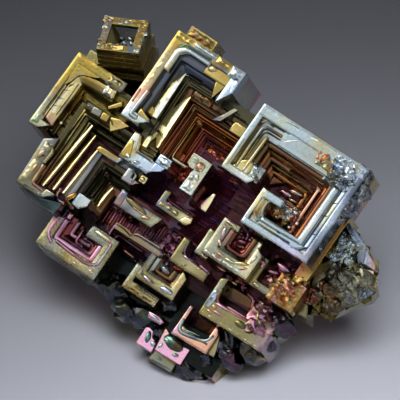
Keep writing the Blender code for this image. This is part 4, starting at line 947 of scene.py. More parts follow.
def centre_pieces(skin):
    """Loose ledges and pillars that stand on the dark middle floor."""
    skin.shade = 1.0
    # The two plates of the deep middle floor, wine, plum and maroon, are toned down to 0.4: painted shade.
    skin.plate([(-1.6, -5.4), (-1.6, 5.6), (6.6, 5.6), (6.6, -5.4)], -8.35, [WINE, PLUM, WINE], root=1.5,
        tone=0.4)
    skin.plate([(-8.6, -10.6), (-10.2, -4.6), (-1, -4.2), (-1, -10.6)], -8.35, [MAROON, WINE], root=1.5,
        tone=0.4)
    # upper pillar
    skin.coarse = 0.3
    skin.plate([(-4.55, 3.3), (-4.55, 5), (-1.4, 5), (-1.4, -0.2), (-3.45, -0.2), (-3.2, 3.3)], -2.1,
        [SAGE, SAGE, PEARL, SAGE], root=8)
    skin.rock(-3.3, -1.45, -0.15, 2.6, -2.1, 0.3, 70, [PEARL, SAGE, PEARL, STRAW])
    skin.rock(-4.5, -2.9, 3.35, 4.9, -2.1, 0.14, 71, [SAGE, DRAB, SAGE])
    skin.coarse = 0.0
    skin.coil(square_v(-3.4, 3, 4.5, -2, 3, -3), [0.42, 0.42, 0.42, 0.36], 0.5, -1.98, ROUND,
        [STRAW, BRASS, SALMON, STRAW, SALMON], root=1)
    skin.lens((-2.75, 3.75, -2.15), (0.45, 0.5, 0.3), [BRASS, SALMON, STRAW], 10)
    skin.lens((-2.2, 2.3, -2.1), (0.35, 0.5, 0.22), [PEARL, STRAW], 10)
    skin.prism([seat(-1.4, 2.4, -2.7), seat(-1.4, -0.2, -2.9), seat(0.7, -1, -6.2), seat(0.9, 1, -6)],
        [seat(-1.9, 2.4, -6.9), seat(-1.9, -0.2, -6.9), seat(0.2, -1, -7.9), seat(0.4, 1, -7.9)],
        [MAROON, PLUM, ROSE, MAROON], 0.8)
    skin.ridge((0.15, 1), (0.5, -0.9), 0.35, -5.4, [MAUVE, PINK], root=2)
    skin.plate([(0.3, -0.3), (0.95, 1.8), (1.45, 1.8), (1.65, -1), (0.75, -1)], -4.9,
        [ROSE, STRAW, STRAW, SALMON])
    # left of the middle
    skin.sweep(square_u(-9.2, -3.5, -11, -1.25), [1, 1.1], -3.9, RIM, [MAUVE, GREY, GREY], root=6, start=0.7)
    skin.coil([(-10.3, -1.5), (-9.3, -1.6), (-9.2, -3)], [0.4, 0.45], 0.6, -3.72, ROUND, [STRAW, PEARL, MINT],
        root=2)
    skin.block(-8.8, -7.8, -2.4, -1.3, -3.8, [BRASS, STRAW], root=6)
    skin.lens((-8.3, -1.9, -3.8), (0.4, 0.35, 0.25), [STRAW, BRASS], 0, 2)
    skin.sweep(square_u(0.2, -4, -4.9, -1.2), [1.4, 1], -5.4, RIM, [STRAW, OLIVE, SLATE, OLIVE], start=0.5)
    skin.rock(-4.8, -1, -3.95, -2.75, -5.42, 0.22, 72, [TEAL, OLIVE, GOLD, SLATE, NAVY])
    skin.rock(-4.85, -4, -3, -1.3, -5.42, 0.22, 73, [TEAL, OLIVE, SLATE])
    skin.plate([(-0.9, -3.95), (-0.5, -3.1), (0.55, -2.6), (0.75, -3.4), (0.3, -4)], -5.2, [STRAW, STRAW, GOLD],
        root=1.5, bevel=0.25)
    skin.coil([(-3.8, -1.2), (-3.7, -2.2), (0.5, -2.3)], [0.5, 0.45], 0.6, -5.7, ROUND,
        [MAROON, ROSE, PINK, ROSE], root=3)
    skin.lens((-3.2, -2.75, -5.3), (0.5, 0.13, 0.2), [PINK, ROSE], 0, 2)
    skin.sweep(square_u(-3.5, -6.85, -9.95, -4.4, -8.9), [1.9, 1.6, 0.9], -4.9, RIM,
        [SAGE, OLIVE, GREY, SLATE, GREY, SLATE], start=0.6)
    skin.plate([(-9.85, -6.7), (-9.85, -4.6), (-8.9, -4.5), (-8.8, -6.7)], -4.8, [MAUVE, SLATE, COPPER],
        root=1.5)
    skin.lens((-6.9, -5.45, -4.95), (1.9, 0.5, 0.2), [MOSS, OLIVE, MOSS], -6)
    skin.lens((-6.2, -5.85, -4.9), (1.2, 0.18, 0.28), [OLIVE, SALMON, STRAW], -4)
    skin.lens((-4.95, -6.1, -4.9), (0.62, 0.25, 0.3), [STRAW, SALMON], 25)
    skin.plate([(-8, -9.6), (-8, -8.7), (-7, -8.6), (-5.7, -9.1), (-4.6, -8.4), (-1, -8.3), (0.1, -8.9),
        (-0.4, -9.6)], -6.4, [OLIVE, BROWN, DRAB, BROWN])
    skin.coil([(-8.2, -10.6), (-8.15, -8.75), (-6.4, -8.75), (-5.2, -9.15)], [0.5, 0.4, 0.4], 0.7, -6.35, ROUND,
        [ROSE, PINK, ROSE, MAUVE], root=4)
    skin.coil([(-5.6, -9.2), (-4.5, -8.55), (-0.5, -8.5), (0.15, -9)], [0.34], 0.7, -6.25, ROUND,
        [MAUVE, ROSE, MAUVE, PINK], root=4)
    skin.rock(-5.2, -0.6, -9.5, -8.8, -6.4, 0.2, 74, [OLIVE, TEAL, BROWN])
    skin.ridge((-7.65, -9.4), (-7.75, -10.8), 0.22, -6.8, [PINK], root=4)
    skin.coil([(-7.2, -11.4), (-7.1, -9.8), (-2.6, -9.9)], [0.5], 0.9, -7.3, ROUND,
        [MAROON, PLUM, MAUVE, MAROON], root=3)
    skin.lens((-4, -11.5, -8.3), (1.1, 0.16, 0.3), [ROSE, SALMON], -2)
    skin.ridge((2.9, 3.75), (4.3, 3.7), 0.32, -7.5, [STRAW, PINK], root=3)
    skin.lens((2.6, 4.5, -7.4), (0.9, 0.2, 0.3), [RED, COPPER], 10)
    skin.ridge((-5.8, -4.35), (-5, -4.4), 0.2, -6.2, [ROSE], root=3)
    skin.ridge((-4.5, -4.4), (-3, -4.4), 0.35, -6.2, [ROSE, PINK], root=3)
    skin.lump(seat(-6.1, -7.5, -7.5), (0.55, 0.45, 1), 33, [SALMON, BROWN], detail=2)
    # growth lines of the floor
    skin.shade = 1.6
    dice = random.Random(SEED + 5)
    for row in range(44):
        v = 5.2 - 0.24 * row
        begin = dice.uniform(-1.4, 0.2)
        skin.ridge((begin, v), (dice.uniform(4.6, 6.4), v + dice.uniform(-0.05, 0.1)), dice.uniform(0.26, 0.42),
            -8.2 + dice.uniform(0, 0.16), [[PLUM, PURPLE], [MAROON, PLUM], [WINE, MAROON],
            [MAROON, PURPLE]][dice.randrange(4)], root=1.5)
    for row in range(12):
        u = -9.7 + 0.42 * row
        skin.ridge((u, -7 - dice.uniform(0, 0.4)), (u + 0.05, -10.4 + dice.uniform(0, 0.8)),
            dice.uniform(0.34, 0.48), -8.2 + dice.uniform(0, 0.12),
            [[MAROON, PLUM], [WINE, MAROON], [PLUM, ROSE]][row % 3], root=1.5)
    for row in range(9):
        v = -9.7 - 0.26 * row
        skin.ridge((dice.uniform(-7.4, -5.6), v), (-1.6, v), 0.2, -8.15, [[WINE, MAUVE], [PLUM, WINE]][row % 2],
            root=1.5)
    for row in range(16):
        v = 0.9 - 0.33 * row
        skin.ridge((-8.4 + dice.uniform(0, 0.8), v), (-5 + dice.uniform(0, 0.5), v), dice.uniform(0.28, 0.4),
            -8.2, [[WINE, PLUM], [MAROON, PURPLE], [NAVY, PLUM]][row % 3], root=1.5)
    for row in range(9):
        u = -4.75 + 0.4 * row
        skin.ridge((u, -5.3 - dice.uniform(0, 0.5)), (u + 0.06, -8.5 + dice.uniform(0, 0.5)),
            dice.uniform(0.26, 0.38), -8.16 + dice.uniform(0, 0.14),
            [[WINE, MAROON], [MAROON, PURPLE], [PLUM, WINE]][row % 3], root=1.5)
    skin.rock(-6.2, -1.6, 0.2, 3.4, -8.4, 0.9, 75, [RED, MAROON, COPPER, PLUM], root=1)
    skin.rock(-1.4, 2.9, -8.9, -5.2, -8.4, 0.7, 76, [MAROON, WINE, PLUM, MOSS], root=1)


def lower_frames(skin):
    """Small open frames that step down below the big hoppers."""
    skin.shade = 0.84
    # pale frame under the right hopper, with a rounded bowl
    skin.coarse = 0.15
    skin.sweep(square_v(11.7, -1.7, -5.8, 4.2, 0, 7), [1.3, 1.75, 1.6, 0.9], -2.9, RIM,
        [SAGE, STRAW, SAGE, DRAB, SAGE, DRAB, SAGE], root=7, start=0.6)
    skin.rock(4.25, 11.5, -5.75, -4.9, -2.9, 0.22, 77, [SAGE, PEARL, STRAW, SAGE])
    skin.coarse = 0.0
    for count, level in enumerate([-3.35, -4.1, -4.8, -5.4]):
        grown = [0, 0.7, 1.35, 1.9][count]
        path = square_v(10.8 - grown, -0.2, -4.5 + grown * 0.8, 5.4 + grown, -0.8)
        skin.coil(path, [1], 1.4, level, SLOPE_IN if count % 2 == 0 else ROUND,
            [[SAGE, BROWN, DRAB, SALMON], [BROWN, MAROON, BROWN], [MAROON, RED, MAROON], [PLUM, ROSE]][count])
    for u, v, a, b, turn, tints in ((5.6, -0.42, 1, 0.3, 0, [SALMON, STRAW]),
            (5.35, -1.9, 0.95, 0.28, -78, [PEARL, PINK]), (5.7, -3.4, 0.5, 0.32, -50, [PINK, STRAW]),
            (7, -4.75, 0.8, 0.22, -6, [SALMON, STRAW]), (8.5, -4.75, 1, 0.26, 4, [STRAW]),
            (9.95, -4.2, 1.1, 0.3, 24, [STRAW, BRASS]), (10.5, -4.65, 0.6, 0.2, 36, [SALMON, PINK]),
            (5, -1.25, 0.4, 0.2, -40, [SALMON]), (6.5, -5.2, 0.6, 0.2, -12, [ROSE, SALMON]),
            (11, -2.9, 0.7, 0.2, 80, [STRAW, PEARL])):
        skin.lens((u, v, -2.95), (a, b, 0.26), tints, turn)
    for u, v, a, tints in ((8.2, -1.7, 0.8, [MAROON, ROSE]), (9.1, -0.9, 0.4, [PINK, ROSE]),
            (7.6, -0.9, 0.35, [ROSE, SALMON]), (8.9, -2.3, 0.3, [SALMON, STRAW])):
        skin.lens((u, v, -5), (a, a * 0.6, 0.5), tints, 20)
    skin.sweep(square_u(5.5, -6.4, 3.4, -2.4), [1.2, 1.1], -4.3, RIM, [OLIVE, SAGE, OLIVE], root=6)
    skin.lens((5, -6.15, -4.3), (0.5, 0.2, 0.25), [SALMON, STRAW])
    # olive plate with a notched inner edge
    skin.shade = 0.95
    skin.sweep(square_u(6.9, -9.15, 1.1, -5.3), [1.75, 1.1], -5.1, RIM, [OLIVE, KHAKI, OLIVE, OLIVE], root=6)
    skin.coil([(2.2, -5.4), (2.5, -7.3), (7, -7.55)], [0.5, 0.42], 1, -5, ROUND,
        [DRAB, MAUVE, PINK, BROWN, ROSE], root=3)
    for u, v, a, b, turn, tints in ((3.05, -7.6, 0.5, 0.2, -10, [PINK, PEARL]),
            (5.9, -7.55, 0.8, 0.2, -4, [ROSE, PINK]), (3.35, -8.6, 0.4, 0.16, 28, [BRASS, STRAW]),
            (5.4, -8, 0.35, 0.08, 26, [STRAW]), (7.9, -6.3, 0.8, 0.22, 0, [RED, SALMON])):
        skin.lens((u, v, -5.1 if v < -7 else -6), (a, b, 0.25), tints, turn)
    # dark hollow with a rough, rosy heap beside it
    skin.shade = 1.04
    skin.sweep(square_u(16.5, -6, 12.1, -1.6), [1.1, 0.8], -4.4, RIM, [DRAB, OLIVE, MOSS], root=6)
    skin.coil(square_v(12.9, -1.9, -5, 15.6), [0.7, 0.8], 1, -4.5, ROUND, [MOSS, OLIVE, DRAB])
    skin.rock(13.3, 17, -4.4, -0.6, -5.9, 1.3, 78, [MAROON, ROSE, PLUM, BROWN, PINK], root=3, edge=0.9,
        scale=0.55)
    skin.rock(8.6, 12.4, -7.4, -6, -7.6, 1, 79, [MAROON, WINE, RED], root=2)
    skin.lens((15.1, -1.6, -5.2), (1.2, 0.55, 0.6), [ROSE, PINK, MAUVE], -5)
    skin.lens((14.2, -2.9, -5.3), (0.9, 0.35, 0.5), [MAROON, PINK], 15)
    skin.lens((13.2, -5.5, -4.3), (0.55, 0.3, 0.35), [SALMON, STRAW])
    skin.lump(seat(12.4, -2.6, -4.4), (0.35, 0.5, 0.4), 54, [PINK, ROSE])
    # long olive plate
    skin.shade = 1.04
    skin.coarse = 0.12
    skin.sweep([(19.2, -12.8), (8.75, -13), (8.6, -7.2)], [2.6, 1.1], -5.5, RIM,
        [MAUVE, OLIVE, OLIVE, OLIVE, OLIVE, DRAB, OLIVE], root=7, end=0.4)
    skin.rock(8.8, 18.6, -12.9, -12.2, -5.5, 0.2, 80, [OLIVE, KHAKI, STRAW, OLIVE])
    skin.coarse = 0.0
    skin.plate([(8.85, -11.8), (8.75, -9.2), (9.3, -8.9), (9.8, -10.2), (9.6, -11.7)], -5.4,
        [SLATE, STEEL, GREY], root=1.5)
    skin.rock(8.85, 9.6, -11.6, -9, -5.4, 0.35, 81, [SLATE, SILVER, OLIVE])
    skin.coil([(9.9, -8.4), (10.1, -10.2), (15.4, -10)], [0.6, 0.62], 1.1, -5.45, ROUND,
        [OLIVE, BROWN, ROSE, PINK, ROSE, MAROON], root=3)
    for u, v, a, b, turn, tints in ((11.3, -10.55, 1.2, 0.24, 0, [PINK, PINK, SALMON]),
            (13.2, -10.1, 1.6, 0.16, 2, [SALMON, PINK]), (11.1, -11.6, 0.75, 0.24, 4, [SALMON, PINK]),
            (10, -12, 0.4, 0.24, 0, [STRAW, SALMON]), (10.2, -11.1, 0.35, 0.3, 0, [STRAW, SALMON]),
            (14.6, -11.2, 0.9, 0.5, 0, [OLIVE, MOSS])):
        skin.lens((u, v, -5.5), (a, b, 0.3), tints, turn)
    skin.rock(14.6, 18.9, -11.6, -8, -5.7, 0.9, 82, [MAUVE, ROSE, PLUM, OLIVE, PINK], root=3, edge=0.9,
        scale=0.5)
    skin.plate([(9.8, -9.3), (9.8, -7.6), (15, -7.4), (15.2, -9.3)], -7.3, [MOSS, BROWN, OLIVE], root=4,
        fall=[0.5, 0, 0, 0.7])
    skin.lens((10.6, -7, -6.9), (0.6, 0.2, 0.3), [STRAW, BRASS])
    skin.coil([(13, -6.9), (14.4, -7.1), (14.9, -8.6)], [0.55, 0.6], 0.7, -6.3, ROUND,
        [MAROON, PINK, ROSE, MAROON], root=3)
    skin.coil([(15, -6.8), (17, -6.7), (17.6, -8.4)], [0.5, 0.6], 0.7, -6, ROUND, [PURPLE, PINK, MAUVE], root=3)
    # salmon frame with a bright teal ridge
    skin.shade = 0.95
    skin.sweep([(12.95, -13.9), (12.95, -17.2), (7.25, -17.35), (7.25, -12.7)], [1, 1.3, 0.6], -7.9, RIM,
        [SALMON, SALMON, SALMON, SALMON, SALMON, PINK, SALMON, MAUVE], root=6, start=0.9)
    skin.rock(8, 12.6, -16.3, -15.7, -7.92, 0.3, 83, [SALMON, MAROON, STRAW], edge=0.3)
    skin.coil([(7.9, -14.7), (8, -16.25), (11.8, -15.5), (12.2, -14.4)], [0.62, 0.72, 0.5], 0.7, -7.75, ROUND,
        [TEAL, PEARL, SILVER, SLATE, PEARL, TEAL], root=2.5)
    skin.lens((9.7, -15.75, -7.7), (1.3, 0.12, 0.3), [PEARL, MINT], 8)
    skin.plate([(8, -15.3), (8, -12.9), (12, -13), (12, -15)], -9.2, [WINE, MAROON, MOSS], root=4,
        fall=[1.2, 0, 0, 1.2], tone=0.5)
    skin.plate([(13, -17.1), (13, -14.2), (13.3, -14), (14.2, -16.9)], -8.6, [OLIVE, KHAKI])
    skin.lens((14, -15.2, -9.3), (0.9, 1.1, 0.6), [WINE, NAVY])
    # two rose plates with green drops
    skin.plate([(6.7, -20.5), (6.25, -17.2), (6.75, -17.3), (7.25, -18.6), (9.9, -18.9), (10.2, -17.9),
        (10.9, -17.9), (10.9, -20.4)], -9.95, [PINK, SALMON, PINK, PINK, PINK])
    skin.lens((8.5, -18.35, -10.3), (1.75, 1, 1.1), [MINT, TEAL, MOSS, MOSS], -8)
    skin.lens((7.6, -18.55, -9.75), (0.75, 0.38, 0.42), [TEAL, MINT, TEAL], -6)
    skin.lens((9.6, -19.6, -10), (0.5, 0.28, 0.3), [MINT, TEAL], 12)
    skin.lens((7.1, -19.6, -10), (0.25, 0.5, 0.2), [MINT, SILVER], -10, 2)
    skin.plate([(3.95, -21.1), (3.9, -18.6), (4.4, -18.3), (5.1, -18.5), (5.5, -19.3), (6.45, -19.6),
        (6.5, -21.1)], -10.9, [PINK], root=4)
    skin.lens((4.95, -19.55, -10.9), (0.42, 0.85, 0.42), [MINT, TEAL, TEAL], 20)
    skin.lens((6.1, -19.95, -10.85), (0.42, 0.4, 0.3), [MINT, PEARL])
    skin.block(6.75, 10.4, -22, -20.3, -11.7, [DRAB, OLIVE, TEAL], root=4)
    skin.ridge((7, -21.85), (10.2, -21.7), 0.3, -11.6, [KHAKI, ROSE, PINK])
    skin.lens((7.9, -21.2, -11.7), (0.6, 0.2, 0.25), [MINT, TEAL])
    skin.plate([(3, -16.5), (4.6, -16.3), (5.6, -16.7), (5.3, -17.25), (3.3, -17.35)], -9.5, [PINK, PINK, ROSE],
        bevel=0.3)
    skin.lens((4.1, -16.85, -9.5), (0.95, 0.25, 0.25), [PINK, PEARL, MINT], -3)
    skin.rock(2.4, 6.6, -18.8, -14, -11.6, 1.4, 84, [NAVY, TEAL, MOSS, WINE], root=3, edge=1)


def lower_left_square(skin):
    """Whole square spiral at the bottom left."""
    skin.shade = 1.02
    skin.coarse = 0.55
    skin.sweep(square_u(-10.55, -10.75, -5.95, -17.1, -15.9, -12.1), [1.85, 1.7, 1.85, 1.6], -6.9, RIM,
        [DRAB, DRAB, OLIVE, DRAB, KHAKI, OLIVE, DRAB, OLIVE, MAUVE], root=7)
    skin.rock(-15.85, -8, -17, -16.2, -6.92, 0.22, 30, [OLIVE, KHAKI, DRAB, GREY])
    skin.rock(-15.85, -15, -16.3, -12.3, -6.92, 0.22, 31, [OLIVE, GREY, DRAB])
    skin.coarse = 0.0
    # nested, rounded coils that go down to the middle
    levels = [-7.35, -8.1, -8.8, -9.5]
    reach = [0, 0.8, 1.55, 2.25]
    films = [[PINK, ROSE, PINK, PINK, ROSE, PINK], [MAROON, WINE, MAROON, MAROON], [MAUVE, PLUM, ROSE, MAUVE],
        [MAROON, RED, MAROON]]
    for count, level in enumerate(levels):
        back = overlap(count)
        grown = reach[count]
        path = square_v(-7.65 - grown + back, -12.5 - 0.1 * count, -15.3 + grown - back, -14.3 + grown - back,
            -11 - 0.2 * count)
        wide = 0.8 + back
        skin.coil(path, [wide], 1.1, level, SLOPE_IN if count % 2 else ROUND, films[count])
    skin.coil(square_u(-10.6, -12.75, -8.5, -14.6, -10.6), [0.5], 0.8, -8.3, ROUND, [MAUVE, ROSE, RED, MAROON],
        root=3)
    skin.coil([(-9.9, -14.4), (-11.5, -14.3), (-11.5, -12)], [0.5], 0.7, -8, ROUND, [MAUVE, ROSE, PINK, MAUVE],
        root=3)
    skin.lens((-8.35, -11.35, -6.95), (1.6, 0.38, 0.3), [STRAW, STRAW, SALMON], -2)
    skin.coil([(-6.55, -11.6), (-6.55, -15.3), (-8.1, -16.1), (-13.6, -15.65)], [0.55, 0.55, 0.6], 1, -6.72,
        ROUND, [PINK, PEARL, PINK, PINK, PINK, ROSE], root=1.6)
    skin.coil([(-14.9, -12.3), (-15, -14.9), (-13.7, -15.7)], [0.62, 0.6], 1, -6.75, ROUND, [ROSE, PINK, PINK],
        root=1.6)
    skin.ridge((-14.6, -12), (-13.3, -12.1), 0.35, -6.85, [PINK, ROSE])
    skin.lens((-9.4, -16.6, -6.9), (0.5, 0.2, 0.25), [PINK, PEARL], -10)
    skin.lens((-7, -16.3, -6.9), (0.35, 0.25, 0.25), [PINK, STRAW])
    skin.rock(-10, -8, -14.2, -12.4, -9.3, 1.3, 33, [RED, COPPER, MAROON, RED], root=2)


def lower_middle_frames(skin):
    """Two cups, one below the other, under the centre."""
    skin.shade = 1.0
    skin.coarse = 0.3
    skin.sweep(square_v(4.8, -10, -13.6, -1.5, -8.9, 0.1), [1.1, 1.5, 1, 0.45], -6.9, RIM,
        [KHAKI, KHAKI, KHAKI, OLIVE, OLIVE, DRAB, OLIVE], root=6, start=0.7)
    skin.coarse = 0.0
    for count, level in enumerate([-7.5, -8.4, -9.2]):
        grown = 0.75 * count
        path = square_v(4.2 - grown, -9.7, -12.5 + grown * 0.8, -1 + grown, -9.4)
        skin.coil(path, [1.1, 1, 1.1], 1.2, level, SLOPE_IN if count == 0 else ROUND,
            [[DRAB, BROWN, DRAB, PEARL], [MOSS, BROWN, MOSS], [MAROON, PLUM]][count], root=4)
    skin.lens((1.6, -10.6, -9), (1.3, 0.8, 0.7), [PEARL, GREY, BROWN], -20)
    skin.coil([(0.3, -9), (-1.05, -9.2), (-1.05, -12.6), (1.4, -12.75)], [0.42], 0.7, -6.8, ROUND,
        [SAGE, LILAC, SAGE, LILAC, SALMON], root=1.5)
    skin.lens((3.3, -12.85, -6.85), (1, 0.42, 0.35), [LILAC, PEARL, LILAC], 5)
    skin.lens((0.2, -12.95, -6.85), (0.7, 0.28, 0.3), [PEARL, PINK], -10)
    skin.rock(-1.4, 4.7, -13.5, -13, -6.92, 0.22, 34, [KHAKI, STRAW, OLIVE])
    skin.lump(seat(2.9, -9.5, -8), (1, 0.45, 0.6), 56, [RED], detail=2)
    skin.lump(seat(1.3, -9.8, -8.05), (0.4, 0.6, 0.65), 57, [LILAC, MAUVE], detail=2)
    skin.coarse = 0.5
    skin.sweep([(3.2, -15.75), (-2.35, -15.75), (-2.3, -11.1)], [1.5, 1], -8.9, RIM,
        [KHAKI, OLIVE, OLIVE, DRAB, SAGE])
    skin.rock(-2.3, 3.1, -15.7, -15, -8.9, 0.32, 35, [OLIVE, BRASS, AMBER, OLIVE])
    skin.rock(-2.3, -1.5, -15.1, -11.2, -8.92, 0.2, 36, [OLIVE, KHAKI, OLIVE])
    skin.coarse = 0.0
    for row in range(3):
        skin.ridge((-0.8, -14.25 - 0.25 * row), (3.1, -14.35 - 0.25 * row), 0.2, -8.84, [MAUVE, LILAC, MAUVE])


def tilted_cube(skin):
    """Small separate hopper at the upper left, turned and tipped against the rest."""
    turn = Euler((math.radians(-27.4), 0, math.radians(25.1))).to_matrix()
    centre = seat(-22.27, 13.19, 0.3)
    half = 3.02
    skin.coarse = 0.25
    skin.shade = 0.66
    boxes = [((-half, half, -half, -half + 1.15, -3, 0), [OLIVE, GOLD, OLIVE]),
        ((-half + 0.35, half - 0.1, half - 1.3, half, -2.95, -0.02), [GOLD, OLIVE, GOLD]),
        ((-half + 0.02, -half + 1.1, -half + 0.1, half - 0.55, -2.9, 0.03), [DRAB, OLIVE, MAUVE]),
        ((half - 1.25, half - 0.02, -half + 0.1, half - 0.1, -2.85, 0.02), [GOLD, OLIVE]),
        ((-half + 0.3, half - 0.3, -half + 0.3, half - 0.3, -3.1, -1.7), [SLATE, NAVY, SLATE]),
        ((-half - 0.05, half + 0.38, -half - 0.33, half + 0.1, -5, -2.7), [OLIVE, GOLD, OLIVE]),
        ((-half + 0.5, half + 0.88, -half - 0.68, half - 0.4, -8.4, -4.7), [MOSS, OLIVE])]
    for box, tints in boxes:
        skin.cube(centre, turn, box, tints)
    skin.coarse = 0.0
    inner = half - 1.15
    slopes = [([(-inner - 0.3, -inner - 0.2, -0.05), (-inner - 0.3, inner + 0.2, -0.05),
        (-0.5, inner - 0.4, -1.5), (-0.5, -inner + 0.6, -1.5)], [OLIVE, MOSS]),
        ([(-inner, inner - 1.3, -1.6), (-inner - 0.3, inner + 0.3, -0.1), (inner + 0.3, inner + 0.3, -0.1),
        (inner - 0.4, inner - 1.3, -1.6)], [MOSS, NAVY, OLIVE]),
        ([(inner - 0.9, -inner + 0.4, -1.5), (inner - 0.9, inner - 0.4, -1.5),
        (inner + 0.25, inner + 0.2, -0.1), (inner + 0.25, -inner - 0.2, -0.1)], [GOLD, OLIVE]),
        ([(-inner - 0.2, -inner - 0.2, -0.1), (-0.6, -inner + 0.8, -1.5), (inner - 0.5, -inner + 0.8, -1.5),
        (inner + 0.2, -inner - 0.2, -0.1)], [OLIVE, GOLD])]
    for ring, tints in slopes:
        skin.prism([centre + turn @ Vector(spot) for spot in ring],
            [centre + turn @ Vector((a, b, -2.6)) for a, b, c in ring], tints)
    for a, b, c, size, tints in ((0.1, -0.2, -1.55, 0.44, [STEEL, PEARL]),
            (0.9, 0.4, -1.2, 0.4, [PEARL, SILVER]), (-0.6, -0.9, -1.3, 0.5, [AMBER, OLIVE]),
            (-0.4, 0.5, -1.4, 0.35, [NAVY, STEEL]), (-2.3, 2.3, -0.15, 0.5, [SILVER, LILAC]),
            (1.3, -0.5, -1, 0.35, [PEARL, STEEL]), (-1, 2.6, -0.15, 0.4, [BROWN, GOLD]),
            (0.9, 2.55, -0.15, 0.4, [GOLD, BROWN])):
        skin.lump(centre + turn @ Vector((a, b, c)), (size, size * 0.7, size * 0.5), int(abs(a) * 10 + 60),
            tints)
    dice = random.Random(SEED + 9)
    for count in range(46):
        side = count % 4
        along = dice.uniform(-half + 0.1, half - 0.1)
        out = dice.uniform(half - 0.95, half - 0.12)
        a, b = [(along, out), (out, along), (along, -out), (-out, along)][side]
        size = dice.uniform(0.16, 0.5)
        tints = [[OLIVE, GOLD], [DRAB, SILVER], [GOLD, BRASS], [BROWN, OLIVE]][dice.randrange(4)]
        tilt = Euler((dice.uniform(-0.2, 0.2), dice.uniform(-0.2, 0.2), dice.uniform(-0.3, 0.3))).to_matrix()
        skin.cube(centre + turn @ Vector((a, b, -0.12)), turn @ tilt,
            (-size, size, -size * 0.6, size * 0.6, -0.3, 0.14), tints, 1.1)
    skin.cube(centre + turn @ Vector((2.1, -2.45, -0.2)), turn @ Euler((0.25, 0.3, 0.2)).to_matrix(),
        (-0.75, 0.75, -0.5, 0.5, -0.4, 0.25), [SILVER, STEEL])
    skin.cube(centre + turn @ Vector((-0.6, -2.5, -0.2)), turn @ Euler((0.12, -0.1, 0.1)).to_matrix(),
        (-1.4, 1.3, -0.35, 0.35, -0.4, 0.22), [GOLD, BRASS])
    for level, reach in ((-1.2, 0.06), (-2, 0.1), (-3.4, 0.2), (-4.2, 0.24)):
        skin.cube(centre, turn, (-half + 0.2, half - 0.2 + reach, -half - reach - 0.12, -half + 0.2,
            level - 0.12, level + 0.1), [GOLD, OLIVE, GOLD])


